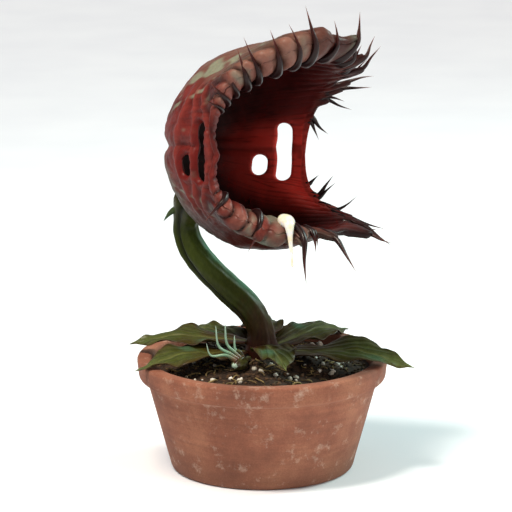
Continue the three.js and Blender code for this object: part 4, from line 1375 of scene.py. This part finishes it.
def tinted_bits(name, dark, light, roughness):
    """Crumbs that differ from one to the next, each with a fine grain."""
    m, shader = started(name, IOR=1.45)
    here = add(m, "ShaderNodeTexCoord", out="Object")
    tint = add(m, "ShaderNodeAttribute", attribute_name="tint", out="Fac")
    grain = add(m, "ShaderNodeTexNoise", {"Vector": here, "Scale": 1 / (0.5 * MM), "Detail": 4})
    colour = add(m, "ShaderNodeValToRGB", {0: tint}, stops=[(0.0, dark), (1.0, light)])
    tinted = shaded_by(m, colour, grain, 0.75, 1.15)
    gloss = add(m, "ShaderNodeMapRange", {0: grain, 3: roughness - 0.1, 4: roughness + 0.1})
    raised = add(m, "ShaderNodeBump", {"Strength": 0.6, "Distance": 0.15 * MM, "Height": grain})
    fill(m, shader, Base_Color=tinted, Roughness=gloss, Normal=raised)
    return m


def rhizome_skin():
    """The buried white rhizome: waxy cream, stained by the peat."""
    m, shader = started("rhizome_waxy", IOR=1.42)
    here = add(m, "ShaderNodeTexCoord", out="Object")
    stain = add(
        m, "ShaderNodeTexNoise", {"Vector": here, "Scale": 1 / (3 * MM), "Detail": 6, "Roughness": 0.7}
    )
    colour = add(
        m, "ShaderNodeValToRGB", {0: stain}, stops=[(0.35, "#3a2818"), (0.7, "#e0d8ba"), (0.5, "#b8ac86")]
    )
    gloss = add(m, "ShaderNodeMapRange", {0: stain, 3: 0.65, 4: 0.45})
    raised = add(m, "ShaderNodeBump", {"Strength": 0.4, "Distance": 0.2 * MM, "Height": stain})
    fill(m, shader, Base_Color=colour, Roughness=gloss, Normal=raised)
    return m


# ---- Putting the plant together ----

bristle, stem, blade = spine_skin(), stalk_skin(), leaf_skin()
make_trap(trap_flesh(), trap_lining())
make_spines(bristle)
make_trigger_hairs(bristle)
make_stalk(stem)
make_bract(stem)
make_drip(nectar())
for node, form in LEAVES.items():
    make_leaf(node, blade, *form)
make_young_trap(young_skin())
make_pot(fired_clay())
make_soil(peat())
crumb = tinted_bits("peat_crumb_dry", "#1c120a", "#5c432b", 0.9)
perlite = tinted_bits("perlite_expanded", "#b9b4a4", "#efece2", 0.85)
fibre = tinted_bits("sphagnum_fibre_dry", "#4a3a20", "#a08c5a", 0.85)
scatter_bits("peat_crumbs", crumb, count=800, seed=51, sizes=(0.35, 0.95), flatness=(0.5, 0.9), lifted=0.1)
scatter_bits("perlite_grains", perlite, count=90, seed=52, sizes=(0.45, 1.2), flatness=(0.6, 1), lifted=0.25)
scatter_fibres("moss_fibres", fibre, count=150, seed=53)
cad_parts["rhizome"].material_slots[0].material = rhizome_skin()

# ---- Floor, light and camera ----

VIEW_MIDDLE = Vector((-0.002, 0, 0.0685))
VIEW_WIDTH = 0.162
VIEW_DISTANCE = 0.9
VIEW_ELEVATION = math.radians(13)
WALL_TOP, WALL_FADE = 3.5, 8  # degrees over the horizon: the room's pale walls end here, softly
WALL_LIGHT, CEILING_LIGHT = 0.88, 0.29
FLOOR_RADIUS = 40


def make_floor():
    """Smooth painted board, even and matt."""
    m, shader = started("painted_board_matt", IOR=1.45, Specular_IOR_Level=0.1)
    here = add(m, "ShaderNodeTexCoord", out="Object")
    cloud = add(m, "ShaderNodeTexNoise", {"Vector": here, "Scale": 1 / (60 * MM), "Detail": 3})
    colour = add(m, "ShaderNodeValToRGB", {0: cloud}, stops=[(0.3, "#ecf0f6"), (0.7, "#f1f5fa")])
    gloss = add(m, "ShaderNodeMapRange", {0: cloud, 3: 0.7, 4: 0.8})
    fill(m, shader, Base_Color=colour, Roughness=gloss)
    bm = bmesh.new()
    bmesh.ops.create_circle(bm, cap_ends=True, segments=96, radius=FLOOR_RADIUS)
    mesh = bpy.data.meshes.new("floor")
    bm.to_mesh(mesh)
    bm.free()
    mesh.materials.append(m)
    floor = bpy.data.objects.new("floor", mesh)
    bpy.context.scene.collection.objects.link(floor)


def make_lamp(name, place, size, power, colour):
    """A square soft box that faces the plant."""
    light = bpy.data.lights.new(name, "AREA")
    light.shape, light.size, light.energy, light.color = "SQUARE", size, power, linear(colour)[:3]
    lamp = bpy.data.objects.new(name, light)
    lamp.location = place
    lamp.rotation_euler = (VIEW_MIDDLE - lamp.location).to_track_quat("-Z", "Y").to_euler()
    bpy.context.scene.collection.objects.link(lamp)


def make_sun(place, strength, width, colour):
    """Broad, even light over the plant and the floor, as from a distant window. width is in degrees."""
    light = bpy.data.lights.new("key", "SUN")
    light.energy, light.angle, light.color = strength, math.radians(width), linear(colour)[:3]
    lamp = bpy.data.objects.new("key", light)
    lamp.location = place
    lamp.rotation_euler = (-lamp.location).to_track_quat("-Z", "Y").to_euler()
    bpy.context.scene.collection.objects.link(lamp)


def make_room():
    """Pale, even room light, with walls as bright as the floor all round, so that no horizon shows."""
    world = bpy.data.worlds.new("room")
    world.use_nodes = True
    direction = add(world, "ShaderNodeTexCoord", out="Generated")
    height = add(world, "ShaderNodeSeparateXYZ", {0: direction}, out="Z")
    top, fade = (math.sin(math.radians(level)) for level in (WALL_TOP, WALL_FADE))
    strength = add(
        world, "ShaderNodeMapRange", {0: height, 1: top, 2: fade, 3: WALL_LIGHT, 4: CEILING_LIGHT},
        interpolation_type="SMOOTHSTEP",
    )
    background = world.node_tree.nodes["Background"]
    background.inputs["Color"].default_value = linear("#f3f4f4")
    fill(world, background, Strength=strength)
    bpy.context.scene.world = world


def make_camera():
    """The camera, in front of the plant and looking a little down on it."""
    lens = bpy.data.cameras.new("camera")
    lens.sensor_width = 36
    lens.lens = lens.sensor_width * VIEW_DISTANCE / VIEW_WIDTH
    camera = bpy.data.objects.new("camera", lens)
    back = Vector((0, -math.cos(VIEW_ELEVATION), math.sin(VIEW_ELEVATION)))
    camera.location = VIEW_MIDDLE + back * VIEW_DISTANCE
    camera.rotation_euler = back.to_track_quat("Z", "Y").to_euler()
    bpy.context.scene.collection.objects.link(camera)
    bpy.context.scene.camera = camera


make_floor()
make_sun((-0.42, -0.38, 1.15), 2.4, 12, "#fff9f2")
make_lamp("top", (-0.10, -0.12, 0.42), 0.12, 0.9, "#ffe6c8")
make_lamp("rim", (0.42, 0.22, 0.38), 0.22, 3, "#d6f2ec")
make_lamp("fill", (0.42, -0.34, 0.20), 0.2, 0.8, "#fff0e6")
make_room()
make_camera()
bpy.context.scene.view_settings.view_transform = "Standard"


def corners(box):
    return [list(corner) for corner in box]
